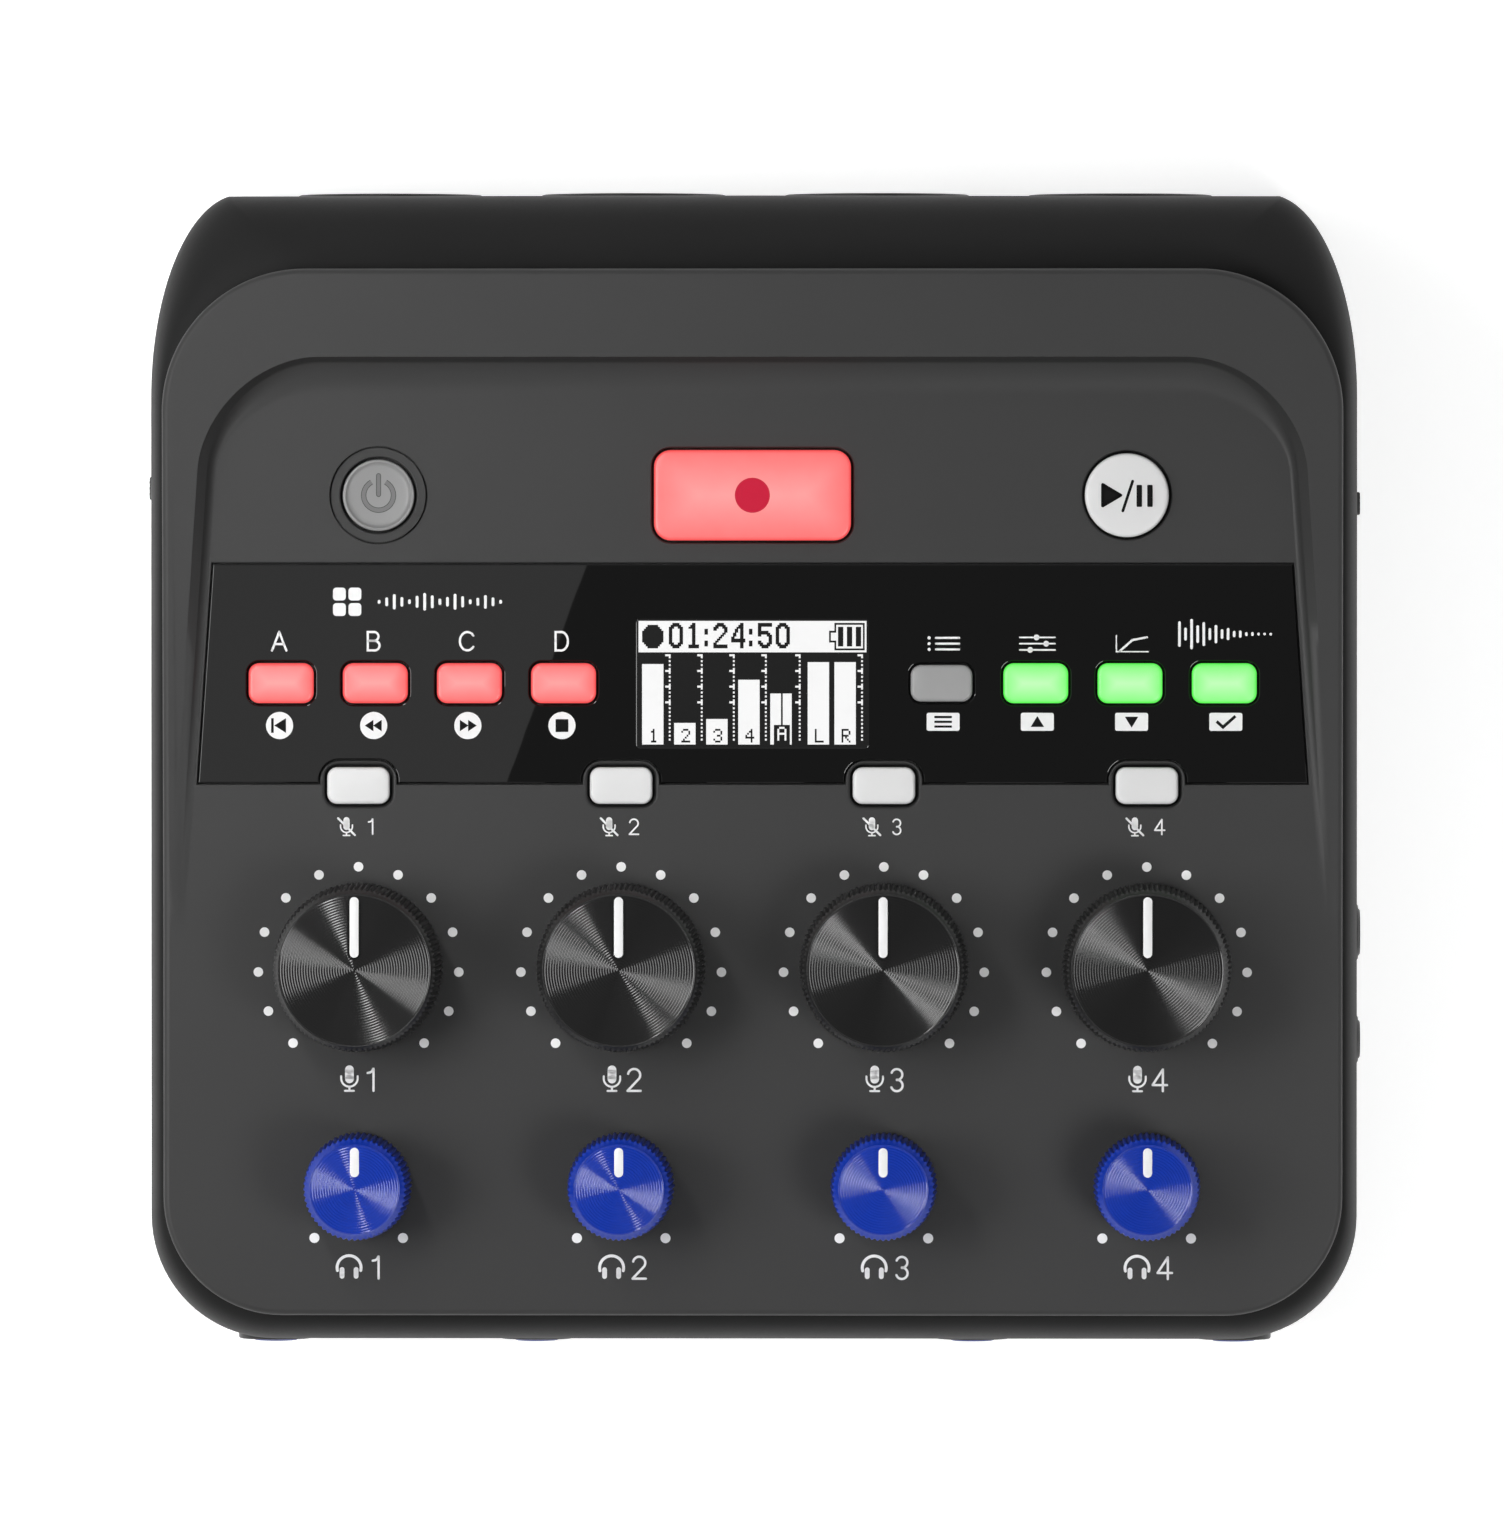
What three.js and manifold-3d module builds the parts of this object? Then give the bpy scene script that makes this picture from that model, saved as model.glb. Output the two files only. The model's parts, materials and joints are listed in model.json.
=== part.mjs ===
// A four-channel podcast mixer: a wedge-shaped tabletop recorder with a moulded case, a raised rim
// round a sunk control deck, rotary knobs, lit keys, a display window, and its sockets and battery bay.
// Millimetres, +X right, +Y to the rear, +Z up. The origin is at the middle of the foot plane.

import * as THREE from 'three';
import { mergeVertices } from 'three/addons/utils/BufferGeometryUtils.js';
import Module from 'manifold-3d';

const wasm = await Module();
wasm.setup();

// Clearances
const seatGap = 0.3;
const runningGap = 0.3;
const windowGap = 0.25;
const overrun = 2;

// A right angle in degrees, which is how solids are turned
const quarterTurn = 90;

// Roundness of turned and cornered shapes
const roundSteps = 18;
const smallRoundSteps = 12;
const pinSteps = 8;
const cornerSteps = 2;
const frontCornerSteps = 5;
const rearCornerSteps = 7;
const recessCornerSteps = 6;
const edgeSteps = 2;
const skinSteps = { shoulderSteps: 5, bottomSteps: 2 };
const hollowSteps = { shoulderSteps: 2, bottomSteps: 1 };

// Lower case at its widest level, measured from the middle of the deck
const lowerCase = {
  halfWidth: 75.8,
  front: 71.85,
  rear: 72.07,
  frontRadius: 15.5,
  rearAcross: 11.3,
  rearAlong: 25.5,
  rearSweep: THREE.MathUtils.degToRad(82),
  crown: 0.11,
  wall: 2.2,
  floor: 2.2,
  shoulder: 9,
  bottomRound: 2.4,
};

// Top cover, set back from the case's edges
const coverSetBack = { side: 2.05, front: 3.45, rear: 9.57 };
const cover = {
  halfWidth: lowerCase.halfWidth - coverSetBack.side,
  front: lowerCase.front - coverSetBack.front,
  rear: lowerCase.rear - coverSetBack.rear,
  frontRadius: 14.8,
  rearAcross: 17.9,
  rearAlong: 17.9,
  rearSweep: THREE.MathUtils.degToRad(90),
  crown: 0,
  skirt: 3,
  edgeRound: 0.8,
  lip: 0.9,
  lipDepth: 1.6,
};

// Stance of the control deck, which is the cover's sunk face
const deck = { shift: -1.3, tilt: THREE.MathUtils.degToRad(3.5), thickness: 2.5 };

// Raised rim: a second plane, steeper than the deck, that leaves it at the run-out line
const rim = {
  slope: THREE.MathUtils.degToRad(2.9),
  runOut: 19.5,
  rearWidth: 11,
  sideWidth: 4.4,
  leastRise: 0.05,
};

// The rim's inner face, from the deck up: a soft step, a ledge, and a steep wall to the rim's edge.
// Each line is given by its reach from that edge and its share of the rim's height.
const rimFace = [
  { sideReach: 2.2, rearReach: 5.2, riseShare: 0 },
  { sideReach: 1.6, rearReach: 3, riseShare: 0.2 },
  { sideReach: 1.1, rearReach: 1.1, riseShare: 0.34 },
  { sideReach: 0, rearReach: 0, riseShare: 1 },
];

// Sides of the sunk deck inside the rim
const recess = { cornerAcross: 15.05, cornerAlong: 14.9, cornerPower: 1.85, flare: 3.78 };

// Feet, let into the underside
const foot = { radius: 6, height: 1.5, sunk: 0.7, acrossInset: 14, frontInset: 15, rearInset: 16 };

// Wells for the screws that close the case, beside the feet
const screwWell = { radius: 2.8, depth: 1.2, acrossInset: 28, frontInset: 12, rearInset: 12 };

// Knobs and the potentiometers under them
const channelCount = 4;
const micKnob = { baseRadius: 10.6, taper: 0.45, bevel: 0.75, height: 13.7, fluteCount: 32, fluteDepth: 0.4 };
const phonesKnob = {
  baseRadius: 6.7,
  taper: 0.3,
  bevel: 0.85,
  height: 13.1,
  fluteCount: 22,
  fluteDepth: 0.3,
};
const pointer = { width: 1.1, from: 1.55, inset: 0.4, depth: 0.3 };
const knobLift = 0.5;
const shaft = { radius: 3, engagement: 7.5, flat: 0.7, holeRadius: 4, sunk: 2.2 };
const micPot = { size: 12, height: 5.5 };
const phonesPot = { size: 9.5, height: 5.5 };

// Keys: a cap that stands in its opening, and a flange that keeps it under the deck
const keyFlange = { overlap: 0.9, thickness: 1.2 };
const keyEdge = 0.4;
const recordKey = { width: 24.6, depth: 11.3, radius: 2.1, proud: 1.1 };
const powerKey = { radius: 4.75, proud: 0.1, dish: 0.45, dishInset: 0.47, collarMargin: 1.4, groove: 0.3 };
const playKey = { radius: 5.25, proud: 1.2 };
const padKey = { width: 8.1, depth: 5, radius: 1.3, proud: 0.8 };
const padCount = 4;
const muteKey = { width: 7.8, depth: 4.6, radius: 1.25, proud: 0.9, forward: 0.35 };

// Tab of the cover that notches the window round each mute key
const muteTab = { sideMargin: 1.1, rearMargin: 1, radius: 2.6 };

// Display window: a thin smoked panel laid in a pocket of the deck, over the display
const windowPanel = { sideInset: 2.63, frontMargin: 0.5, rearMargin: 5.85, thickness: 0.9, bed: 0.3 };
const display = { width: 33, depth: 18, corner: 0.5, frameInset: 1.5 };

// Main board, hung from posts under the cover and over the battery bay
const board = {
  top: 9,
  thickness: 1.6,
  sideMargin: 4.4,
  frontMargin: 7,
  rearMargin: 0.5,
  radius: 8,
  room: 5.6,
};
const tactSwitch = { size: 5.4, keyTravelRoom: 0.8 };
const post = { radius: 3, inset: 5 };
const postRowShares = [0.15, 0.48, 0.95];

// Microphone sockets on the rear wall
const socket = {
  ringRadius: 11.7,
  ringProud: 0.35,
  ringDepth: 4,
  bodyRadius: 10.4,
  bodyDepth: 22,
  channelOuter: 9.6,
  channelInner: 7.95,
  channelDepth: 15,
  coreSetBack: 0.8,
  bevel: 0.9,
  pinCircle: 4.75,
  pinRadius: 1.3,
  pinDepth: 10,
  floorMargin: 2.77,
  pinAngles: [THREE.MathUtils.degToRad(30), THREE.MathUtils.degToRad(150), THREE.MathUtils.degToRad(270)],
};

// Mini jacks: four on the front wall, two on the right wall
const jackBore = { radius: 1.8, depth: 13 };
const phonesJack = {
  ringRadius: 2.85,
  ringProud: 0.25,
  bezelRadius: 4.7,
  bezelProud: 0.25,
  body: 11,
  setBack: 4.6,
  bodyDepth: 12,
  sideInset: 15.4,
  boardGap: 0.9,
};
const sideJack = { bezelProud: 0.3, ringProud: 0.3, setBack: 3.2, body: 9.5, bodyDepth: 12 };
const callJack = { ...sideJack, bezelRadius: 3.55, ringRadius: 3, fromFront: 35.55 };
const lineJack = { ...sideJack, bezelRadius: 3, ringRadius: 2.45, fromFront: 22.05 };

// Sockets on the left wall
const usbPort = {
  width: 9,
  height: 3.3,
  shell: 0.35,
  depth: 7.3,
  tongue: 0.7,
  tongueInset: 0.8,
  sunk: 0.35,
  fromFront: 19.85,
};
const cardSlot = {
  width: 13.5,
  height: 4.4,
  depth: 14,
  slotWidth: 11.6,
  slotHeight: 1.4,
  slotDepth: 11,
  sunk: 0.35,
  fromFront: 35.55,
};

// Small slide switches, one on each side wall
const slideSwitch = {
  length: 2.9,
  height: 2.2,
  proud: 0.5,
  travel: 3,
  flange: 1.2,
  flangeThickness: 1,
  leftFromRear: 11.47,
  rightFromRear: 13.37,
};

// Battery bay, opened from below, with its cells side by side over the door
const cell = { radius: 7.25, length: 49.4, nubRadius: 2.75, nubLength: 1.1 };
const bay = { row: -10, endRoom: 2.4, wall: 1.6, roof: 1.6 };
const door = { ledge: 2.6, thickness: 1.6, gripWidth: 14, gripDepth: 5, gripSunk: 0.7 };

// How the free room between parts that stand in a row is shared out
const channelGapShare = 0.186;
const socketGapShare = 0.2076;
const jackReachShares = [-1, -0.455, 0.455, 1];
const padShares = { margin: 0.166, gap: 0.198 };
const transportGapShare = 0.633;
const rowShares = { rim: 0.264, transport: 0.068, mute: 0.223, knobs: 0.227 };

// Levels of the battery bay over the foot plane, and the deck's height that follows from them
const caseBottom = foot.height;
const pocketHalfX = (cell.length + cell.nubLength) / 2 + bay.endRoom;
const pocketHalfY = 2 * cell.radius + seatGap / 2 + seatGap;
const doorHalfX = pocketHalfX + door.ledge;
const doorHalfY = pocketHalfY + door.ledge;
const doorTop = caseBottom + door.thickness;
const cellAxis = doorTop + seatGap + cell.radius;
const pocketTop = cellAxis + cell.radius + seatGap;
const deckHeight = pocketTop + bay.roof + board.room + board.thickness + board.top;
const deckFrame = new THREE.Matrix4()
  .makeTranslation(0, deck.shift, deckHeight)
  .multiply(new THREE.Matrix4().makeRotationX(deck.tilt));
const deckUp = new THREE.Vector3(0, 0, 1).transformDirection(deckFrame);

// Levels under the deck
const seamLevel = -cover.skirt;
const windowBed = -windowPanel.thickness - windowPanel.bed;
const flangeTop = -deck.thickness - runningGap;
const flangeBottom = flangeTop - keyFlange.thickness;
const boardUnder = -board.top - board.thickness;
const boardMiddle = -board.top - board.thickness / 2;
const jackLevel = boardUnder - phonesJack.boardGap - phonesJack.body / 2;
const rearHeight = deckHeight + lowerCase.rear * Math.sin(deck.tilt);
const socketLevel = caseBottom + socket.floorMargin + socket.ringRadius - rearHeight;

// Rows along the deck, from the rim to the front edge
const recessRear = cover.rear - rim.rearWidth;
const tabRise = muteKey.depth / 2 - muteKey.forward + muteTab.rearMargin;
const windowDepth = tabRise + windowPanel.frontMargin + display.depth + windowPanel.rearMargin;
const muteReach = muteKey.forward + muteKey.depth / 2;
const knobDepths = 2 * (micKnob.baseRadius + phonesKnob.baseRadius);
const rowRoom = recessRear + cover.front - recordKey.depth - windowDepth - muteReach - knobDepths;
const transportRow = recessRear - rowShares.rim * rowRoom - recordKey.depth / 2;
const windowRear = transportRow - recordKey.depth / 2 - rowShares.transport * rowRoom;
const windowFront = windowRear - windowDepth;
const padRow = windowFront + tabRise + windowPanel.frontMargin + display.depth / 2;
const muteRow = windowFront - muteKey.forward;
const micRow = windowFront - muteReach - rowShares.mute * rowRoom - micKnob.baseRadius;
const phonesRow = micRow - micKnob.baseRadius - rowShares.knobs * rowRoom - phonesKnob.baseRadius;
const sideWallFront = lowerCase.frontRadius - lowerCase.front;
const sideWallRear = lowerCase.rear - lowerCase.rearAlong;
const boardFront = lowerCase.front - lowerCase.wall - board.frontMargin;
const boardRear = lowerCase.rear - socket.bodyDepth - board.rearMargin;

// Places across the deck
const channelRoom = 2 * (cover.halfWidth - channelCount * micKnob.baseRadius);
const channelXs = spread(channelCount, 2 * micKnob.baseRadius + channelGapShare * channelRoom);
const socketRoom = 2 * (lowerCase.halfWidth - lowerCase.rearAcross - channelCount * socket.ringRadius);
const socketXs = spread(channelCount, 2 * socket.ringRadius + socketGapShare * socketRoom);
const jackReach = lowerCase.halfWidth - phonesJack.sideInset;
const recessSide = cover.halfWidth - rim.sideWidth;
const windowRearHalf = recessSideAt(windowRear) - windowPanel.sideInset;
const windowFrontHalf = recessSideAt(windowFront) - windowPanel.sideInset;
const padRoom = windowRearHalf - display.width / 2 - padCount * padKey.width;
const padPitch = padKey.width + padShares.gap * padRoom;
const padSpan = padCount * padKey.width + (padCount - 1) * padShares.gap * padRoom;
const padCenter = (display.width + padSpan) / 2 + padShares.margin * padRoom;
const collarRadius = powerKey.radius + powerKey.collarMargin;
const transportRoom = recessSide - recordKey.width / 2 - 2 * collarRadius;
const transportSpread = recordKey.width / 2 + transportGapShare * transportRoom + collarRadius;
const boardHalfWidth = lowerCase.halfWidth - lowerCase.wall - board.sideMargin;

// Plastics, metals and rubber
const finishes = {
  coverGrey: { color: 0x4a4a4a, roughness: 0.6, metalness: 0 },
  caseBlack: { color: 0x2e2e2e, roughness: 0.65, metalness: 0 },
  windowBlack: { color: 0x1c1c1c, roughness: 0.15, metalness: 0 },
  knobBlack: { color: 0x262626, roughness: 0.4, metalness: 0 },
  knobBlue: { color: 0x0a2fa3, roughness: 0.4, metalness: 0 },
  lampRed: { color: 0xff8080, roughness: 0.4, metalness: 0 },
  lampGreen: { color: 0x86ff7c, roughness: 0.4, metalness: 0 },
  keyWhite: { color: 0xe3e3e3, roughness: 0.4, metalness: 0 },
  keyGrey: { color: 0x959595, roughness: 0.45, metalness: 0 },
  socketBlack: { color: 0x161616, roughness: 0.5, metalness: 0 },
  boardGreen: { color: 0x17502e, roughness: 0.6, metalness: 0 },
  displayDark: { color: 0x242424, roughness: 0.2, metalness: 0 },
  steel: { color: 0xb8b8b8, roughness: 0.35, metalness: 1 },
  rubber: { color: 0x1a1a1a, roughness: 0.9, metalness: 0 },
  cellGrey: { color: 0x6f7378, roughness: 0.4, metalness: 0.3 },
};

// Places of a row of equal parts, centred on zero
function spread(count, pitch) {
  return Array.from({ length: count }, (_, index) => (index - (count - 1) / 2) * pitch);
}

// A closed three.js geometry as a solid that can be joined and cut
function solidOf(geometry) {
  geometry.deleteAttribute('normal');
  geometry.deleteAttribute('uv');
  const merged = mergeVertices(geometry);
  return new wasm.Manifold(
    new wasm.Mesh({
      numProp: 3,
      vertProperties: new Float32Array(merged.attributes.position.array),
      triVerts: new Uint32Array(merged.index.array),
    }),
  );
}

function geometryOf(solid) {
  const mesh = solid.getMesh();
  const geometry = new THREE.BufferGeometry();
  geometry.setAttribute('position', new THREE.BufferAttribute(mesh.vertProperties, 3));
  geometry.setIndex(new THREE.BufferAttribute(mesh.triVerts, 1));
  geometry.computeVertexNormals();
  return geometry;
}

function join(...solids) {
  return solids.reduce((sum, solid) => sum.add(solid));
}

function cut(solid, ...tools) {
  return tools.reduce((rest, tool) => rest.subtract(tool), solid);
}

// A body through a stack of rings with equal counts of points, lowest ring first, each running
// counter-clockwise seen from above
function loft(rings) {
  const count = rings[0].length;
  const positions = rings.flat().flatMap((point) => point.toArray());
  const indices = [];
  for (let level = 0; level < rings.length - 1; level++) {
    for (let step = 0; step < count; step++) {
      const next = (step + 1) % count;
      const low = level * count;
      const high = low + count;
      indices.push(low + step, low + next, high + next);
      indices.push(low + step, high + next, high + step);
    }
  }
  const flatten = (ring) => ring.map((point) => new THREE.Vector2(point.x, point.y));
  const capOf = (ring) => THREE.ShapeUtils.triangulateShape(flatten(ring), []);
  const top = (rings.length - 1) * count;
  capOf(rings[0]).forEach(([a, b, c]) => indices.push(a, c, b));
  capOf(rings[rings.length - 1]).forEach(([a, b, c]) => indices.push(top + a, top + b, top + c));
  const geometry = new THREE.BufferGeometry();
  geometry.setAttribute('position', new THREE.Float32BufferAttribute(positions, 3));
  geometry.setIndex(indices);
  return geometry;
}

function ringAt(points, level) {
  return points.map((point) => new THREE.Vector3(point.x, point.y, level));
}

// A rounded rectangle, counter-clockwise
function roundedRectangle(width, depth, radius, x = 0, y = 0, steps = cornerSteps) {
  const points = [];
  for (let corner = 0; corner < 4; corner++) {
    const signX = corner === 0 || corner === 3 ? 1 : -1;
    const signY = corner < 2 ? 1 : -1;
    for (let step = 0; step <= steps; step++) {
      const angle = (corner + step / steps) * (Math.PI / 2);
      points.push(
        new THREE.Vector2(
          x + signX * (width / 2 - radius) + radius * Math.cos(angle),
          y + signY * (depth / 2 - radius) + radius * Math.sin(angle),
        ),
      );
    }
  }
  return points;
}

function circle(radius, x = 0, y = 0, steps = roundSteps) {
  return Array.from({ length: steps }, (_, step) => {
    const angle = (step / steps) * 2 * Math.PI;
    return new THREE.Vector2(x + radius * Math.cos(angle), y + radius * Math.sin(angle));
  });
}

// A straight-sided body over an outline, between two levels
function prism(points, low, high) {
  return solidOf(loft([ringAt(points, low), ringAt(points, high)]));
}

// A turned body about the local Z axis, from a profile of radius and level pairs, lowest first
function turned(profile, steps = roundSteps) {
  return solidOf(
    new THREE.LatheGeometry(
      profile.map(([radius, level]) => new THREE.Vector2(radius, level)),
      steps,
    ).rotateX(Math.PI / 2),
  );
}

// A box between two corners
function block([x0, y0, z0], [x1, y1, z1]) {
  const box = new THREE.BoxGeometry(x1 - x0, y1 - y0, z1 - z0);
  return solidOf(box.translate((x0 + x1) / 2, (y0 + y1) / 2, (z0 + z1) / 2));
}

// Turns, in degrees, that make +Z look out of each wall
const outwardTurns = {
  rear: [-quarterTurn, 0, 0],
  front: [quarterTurn, 0, 0],
  right: [0, quarterTurn, 0],
  left: [0, -quarterTurn, 0],
};

// Turns a body made along +Z to look out of a wall, and puts it at its place in the deck's frame
function onWall(solid, facing, place) {
  return solid.rotate(outwardTurns[facing]).translate(place);
}

function inDeckFrame(solid) {
  return solid.transform(deckFrame.toArray());
}

function node(name, solid, finish) {
  const mesh = new THREE.Mesh(geometryOf(solid), new THREE.MeshStandardMaterial(finishes[finish]));
  mesh.name = name;
  return mesh;
}

// Outline of the cover or the case: round front corners, longer elliptical rear corners that the rear
// face may cut short, and a rear edge that stands back a little more at its middle
function bodyOutline(shape, inset) {
  const halfWidth = shape.halfWidth - inset;
  const front = shape.front - inset;
  const frontRadius = shape.frontRadius - inset;
  const across = shape.rearAcross - inset;
  const along = shape.rearAlong - inset;
  const rearCenter = shape.rear - shape.rearAlong;
  const right = [];
  for (let step = 0; step <= frontCornerSteps; step++) {
    const angle = (step / frontCornerSteps - 1) * (Math.PI / 2);
    const x = halfWidth - frontRadius + frontRadius * Math.cos(angle);
    right.push(new THREE.Vector2(x, frontRadius - front + frontRadius * Math.sin(angle)));
  }
  for (let step = 0; step <= rearCornerSteps; step++) {
    const angle = (step / rearCornerSteps) * shape.rearSweep;
    const x = halfWidth - across + across * Math.cos(angle);
    right.push(new THREE.Vector2(x, rearCenter + along * Math.sin(angle)));
  }
  const middle = new THREE.Vector2(0, right[right.length - 1].y + shape.crown);
  const left = right.map((point) => new THREE.Vector2(-point.x, point.y)).reverse();
  return [...right, middle, ...left];
}

// How far back the case's rear face stands at a place across it
function rearFaceAt(x) {
  const corner = bodyOutline(lowerCase, 0)[frontCornerSteps + 1 + rearCornerSteps];
  return corner.y + lowerCase.crown * (1 - Math.abs(x) / corner.x);
}

// Outline between the cover's and the case's, by share
function caseOutline(share, inset) {
  const narrow = bodyOutline(cover, inset);
  const wide = bodyOutline(lowerCase, inset);
  return narrow.map((point, index) => point.clone().lerp(wide[index], share));
}

// A ring of the case at a level under the deck, in the foot plane's frame
function shoulderRing(share, inset, level) {
  return ringAt(caseOutline(share, inset), level).map((point) => point.applyMatrix4(deckFrame));
}

// A ring of the case's wall, followed down along the deck's normal to a height over the foot plane
function wallRing(inset, height) {
  const follow = (point) => point.addScaledVector(deckUp, (height - point.z) / deckUp.z);
  return shoulderRing(1, inset, 0).map(follow);
}

// The case's skin, from a flat bottom through a rolled edge and upright walls to a domed shoulder
function caseSkin(inset, bottom, topLevel, steps) {
  const rings = [];
  const round = lowerCase.bottomRound;
  for (let step = 0; step <= steps.bottomSteps; step++) {
    const angle = (step / steps.bottomSteps) * (Math.PI / 2);
    rings.push(wallRing(inset + round * (1 - Math.sin(angle)), bottom + round * (1 - Math.cos(angle))));
  }
  for (let step = 0; step <= steps.shoulderSteps; step++) {
    const angle = (step / steps.shoulderSteps) * (Math.PI / 2);
    const level = seamLevel - inset - lowerCase.shoulder * (1 - Math.sin(angle));
    rings.push(shoulderRing(Math.cos(angle), inset, level));
  }
  if (topLevel > seamLevel - inset) {
    rings.push(shoulderRing(0, inset, topLevel));
  }
  return solidOf(loft(rings));
}

// Half width of the sunk deck at a row, in front of its corners
function recessSideAt(y) {
  const cornerRow = recessRear - recess.cornerAlong;
  return recessSide + (recess.flare * (cornerRow - y)) / (cornerRow + rim.runOut);
}

// Height of the rim's plane over the deck
function rimRise(y) {
  return (y + rim.runOut) * Math.tan(rim.slope);
}

// Cover skin with a rolled upper edge, under a plane given as a height over the deck
function coverSkin(bottom, heightAt) {
  const rings = [ringAt(bodyOutline(cover, 0), bottom)];
  for (let step = 0; step <= edgeSteps; step++) {
    const angle = (step / edgeSteps) * (Math.PI / 2);
    const drop = cover.edgeRound * (1 - Math.sin(angle));
    const outline = bodyOutline(cover, cover.edgeRound * (1 - Math.cos(angle)));
    rings.push(outline.map((point) => new THREE.Vector3(point.x, point.y, heightAt(point.y) - drop)));
  }
  return solidOf(loft(rings));
}

// Outline of the sunk deck at a reach from the rim's edge: a straight rear edge, elliptical corners,
// and sides that flare until they leave the cover's own edge
function recessOutline({ sideReach, rearReach }) {
  const cornerRow = recessRear - recess.cornerAlong;
  const front = -cover.front - overrun;
  const across = recess.cornerAcross - sideReach;
  const along = recess.cornerAlong - rearReach;
  const power = 2 / recess.cornerPower;
  const right = [new THREE.Vector2(recessSideAt(front) - sideReach, front)];
  right.push(new THREE.Vector2(recessSideAt(-rim.runOut) - sideReach, -rim.runOut));
  for (let step = 0; step <= recessCornerSteps; step++) {
    const angle = (step / recessCornerSteps) * (Math.PI / 2);
    const x = recessSide - recess.cornerAcross + across * Math.cos(angle) ** power;
    right.push(new THREE.Vector2(x, cornerRow + along * Math.sin(angle) ** power));
  }
  return [...right, ...right.map((point) => new THREE.Vector2(-point.x, point.y)).reverse()];
}

// Tool that sinks the deck into the rim. Its rings rise with the rim's plane, so the rim's inner
// face runs out with it.
function recessTool() {
  const ring = (line, levelAt) =>
    recessOutline(line).map((point) => new THREE.Vector3(point.x, point.y, levelAt(point.y)));
  const riseAt = (y) => Math.max(rimRise(y), rim.leastRise);
  const face = rimFace.map((line) => ring(line, (y) => line.riseShare * riseAt(y)));
  const below = ring(rimFace[0], () => -cover.edgeRound);
  const above = ring(rimFace[rimFace.length - 1], (y) => riseAt(y) + overrun);
  return solidOf(loft([below, ...face, above]));
}

// One round-shouldered notch of the window's front edge, from left to right
function windowNotch(x, front, grow) {
  const half = muteKey.width / 2 + muteTab.sideMargin - grow;
  const radius = muteTab.radius - grow;
  const top = windowFront + tabRise - grow;
  const leftShoulder = [];
  for (let step = 0; step <= cornerSteps; step++) {
    const angle = (step / cornerSteps) * (Math.PI / 2);
    const inward = radius * (1 - Math.cos(angle));
    leftShoulder.push(new THREE.Vector2(inward - half, top - radius * (1 - Math.sin(angle))));
  }
  const left = [new THREE.Vector2(-half, front), ...leftShoulder];
  const right = left.map((point) => new THREE.Vector2(-point.x, point.y)).reverse();
  return [...left, ...right].map((point) => point.add(new THREE.Vector2(x, 0)));
}

// The window's outline: a trapezium with a notch over each mute key, grown by a clearance
function windowOutline(grow) {
  const slope = (windowFrontHalf - windowRearHalf) / windowDepth;
  const front = windowFront - grow;
  const rear = windowRear + grow;
  const frontHalf = windowFrontHalf + grow * (1 + slope);
  const rearHalf = windowRearHalf + grow * (1 - slope);
  return [
    ...channelXs.flatMap((x) => windowNotch(x, front, grow)),
    new THREE.Vector2(frontHalf, front),
    new THREE.Vector2(rearHalf, rear),
    new THREE.Vector2(-rearHalf, rear),
    new THREE.Vector2(-frontHalf, front),
  ];
}

// Every key with a rectangular cap, with its name, size and place
const squareKeys = [
  { name: 'record_key', size: recordKey, x: 0, y: transportRow, finish: 'lampRed' },
  ...spread(padCount, padPitch).map((x, index) => ({
    name: `pad_key_${'abcd'[index]}`,
    size: padKey,
    x: x - padCenter,
    y: padRow,
    finish: 'lampRed',
  })),
  ...spread(padCount, padPitch).map((x, index) => ({
    name: index === 0 ? 'menu_key' : `function_key_${index}`,
    size: padKey,
    x: x + padCenter,
    y: padRow,
    finish: index === 0 ? 'keyGrey' : 'lampGreen',
  })),
  ...channelXs.map((x, index) => ({
    name: `mute_key_${index + 1}`,
    size: muteKey,
    x,
    y: muteRow,
    finish: 'keyWhite',
  })),
];
const roundKeys = [
  { name: 'power_key', size: powerKey, x: -transportSpread, y: transportRow, finish: 'keyGrey' },
  { name: 'play_key', size: playKey, x: transportSpread, y: transportRow, finish: 'keyWhite' },
];
const knobRows = [
  { name: 'mic', knob: micKnob, pot: micPot, row: micRow, finish: 'knobBlack' },
  { name: 'phones', knob: phonesKnob, pot: phonesPot, row: phonesRow, finish: 'knobBlue' },
];

// Outline of a key's cap, grown by a clearance or a flange
function capOutline({ size, x, y }, grow) {
  return size.width
    ? roundedRectangle(size.width + 2 * grow, size.depth + 2 * grow, size.radius + grow, x, y)
    : circle(size.radius + grow, x, y);
}

function keyOpening(key, bottom) {
  return prism(capOutline(key, runningGap), bottom, overrun);
}

// The raised rim's mass: the skin under the rim's plane, less the sunk deck and all under the seam
function rimSolid(bottom) {
  const root = rimRise(-cover.front) - cover.edgeRound - overrun;
  const underSeam = prism(bodyOutline(cover, -overrun), root - overrun, bottom);
  return cut(coverSkin(root, rimRise), recessTool(), underSeam);
}

// A groove round the power key
function collarGroove() {
  const { groove } = powerKey;
  return turned([
    [collarRadius - groove, -groove],
    [collarRadius, -groove],
    [collarRadius, overrun],
    [collarRadius - groove, overrun],
    [collarRadius - groove, -groove],
  ]).translate([-transportSpread, transportRow, 0]);
}

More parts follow.
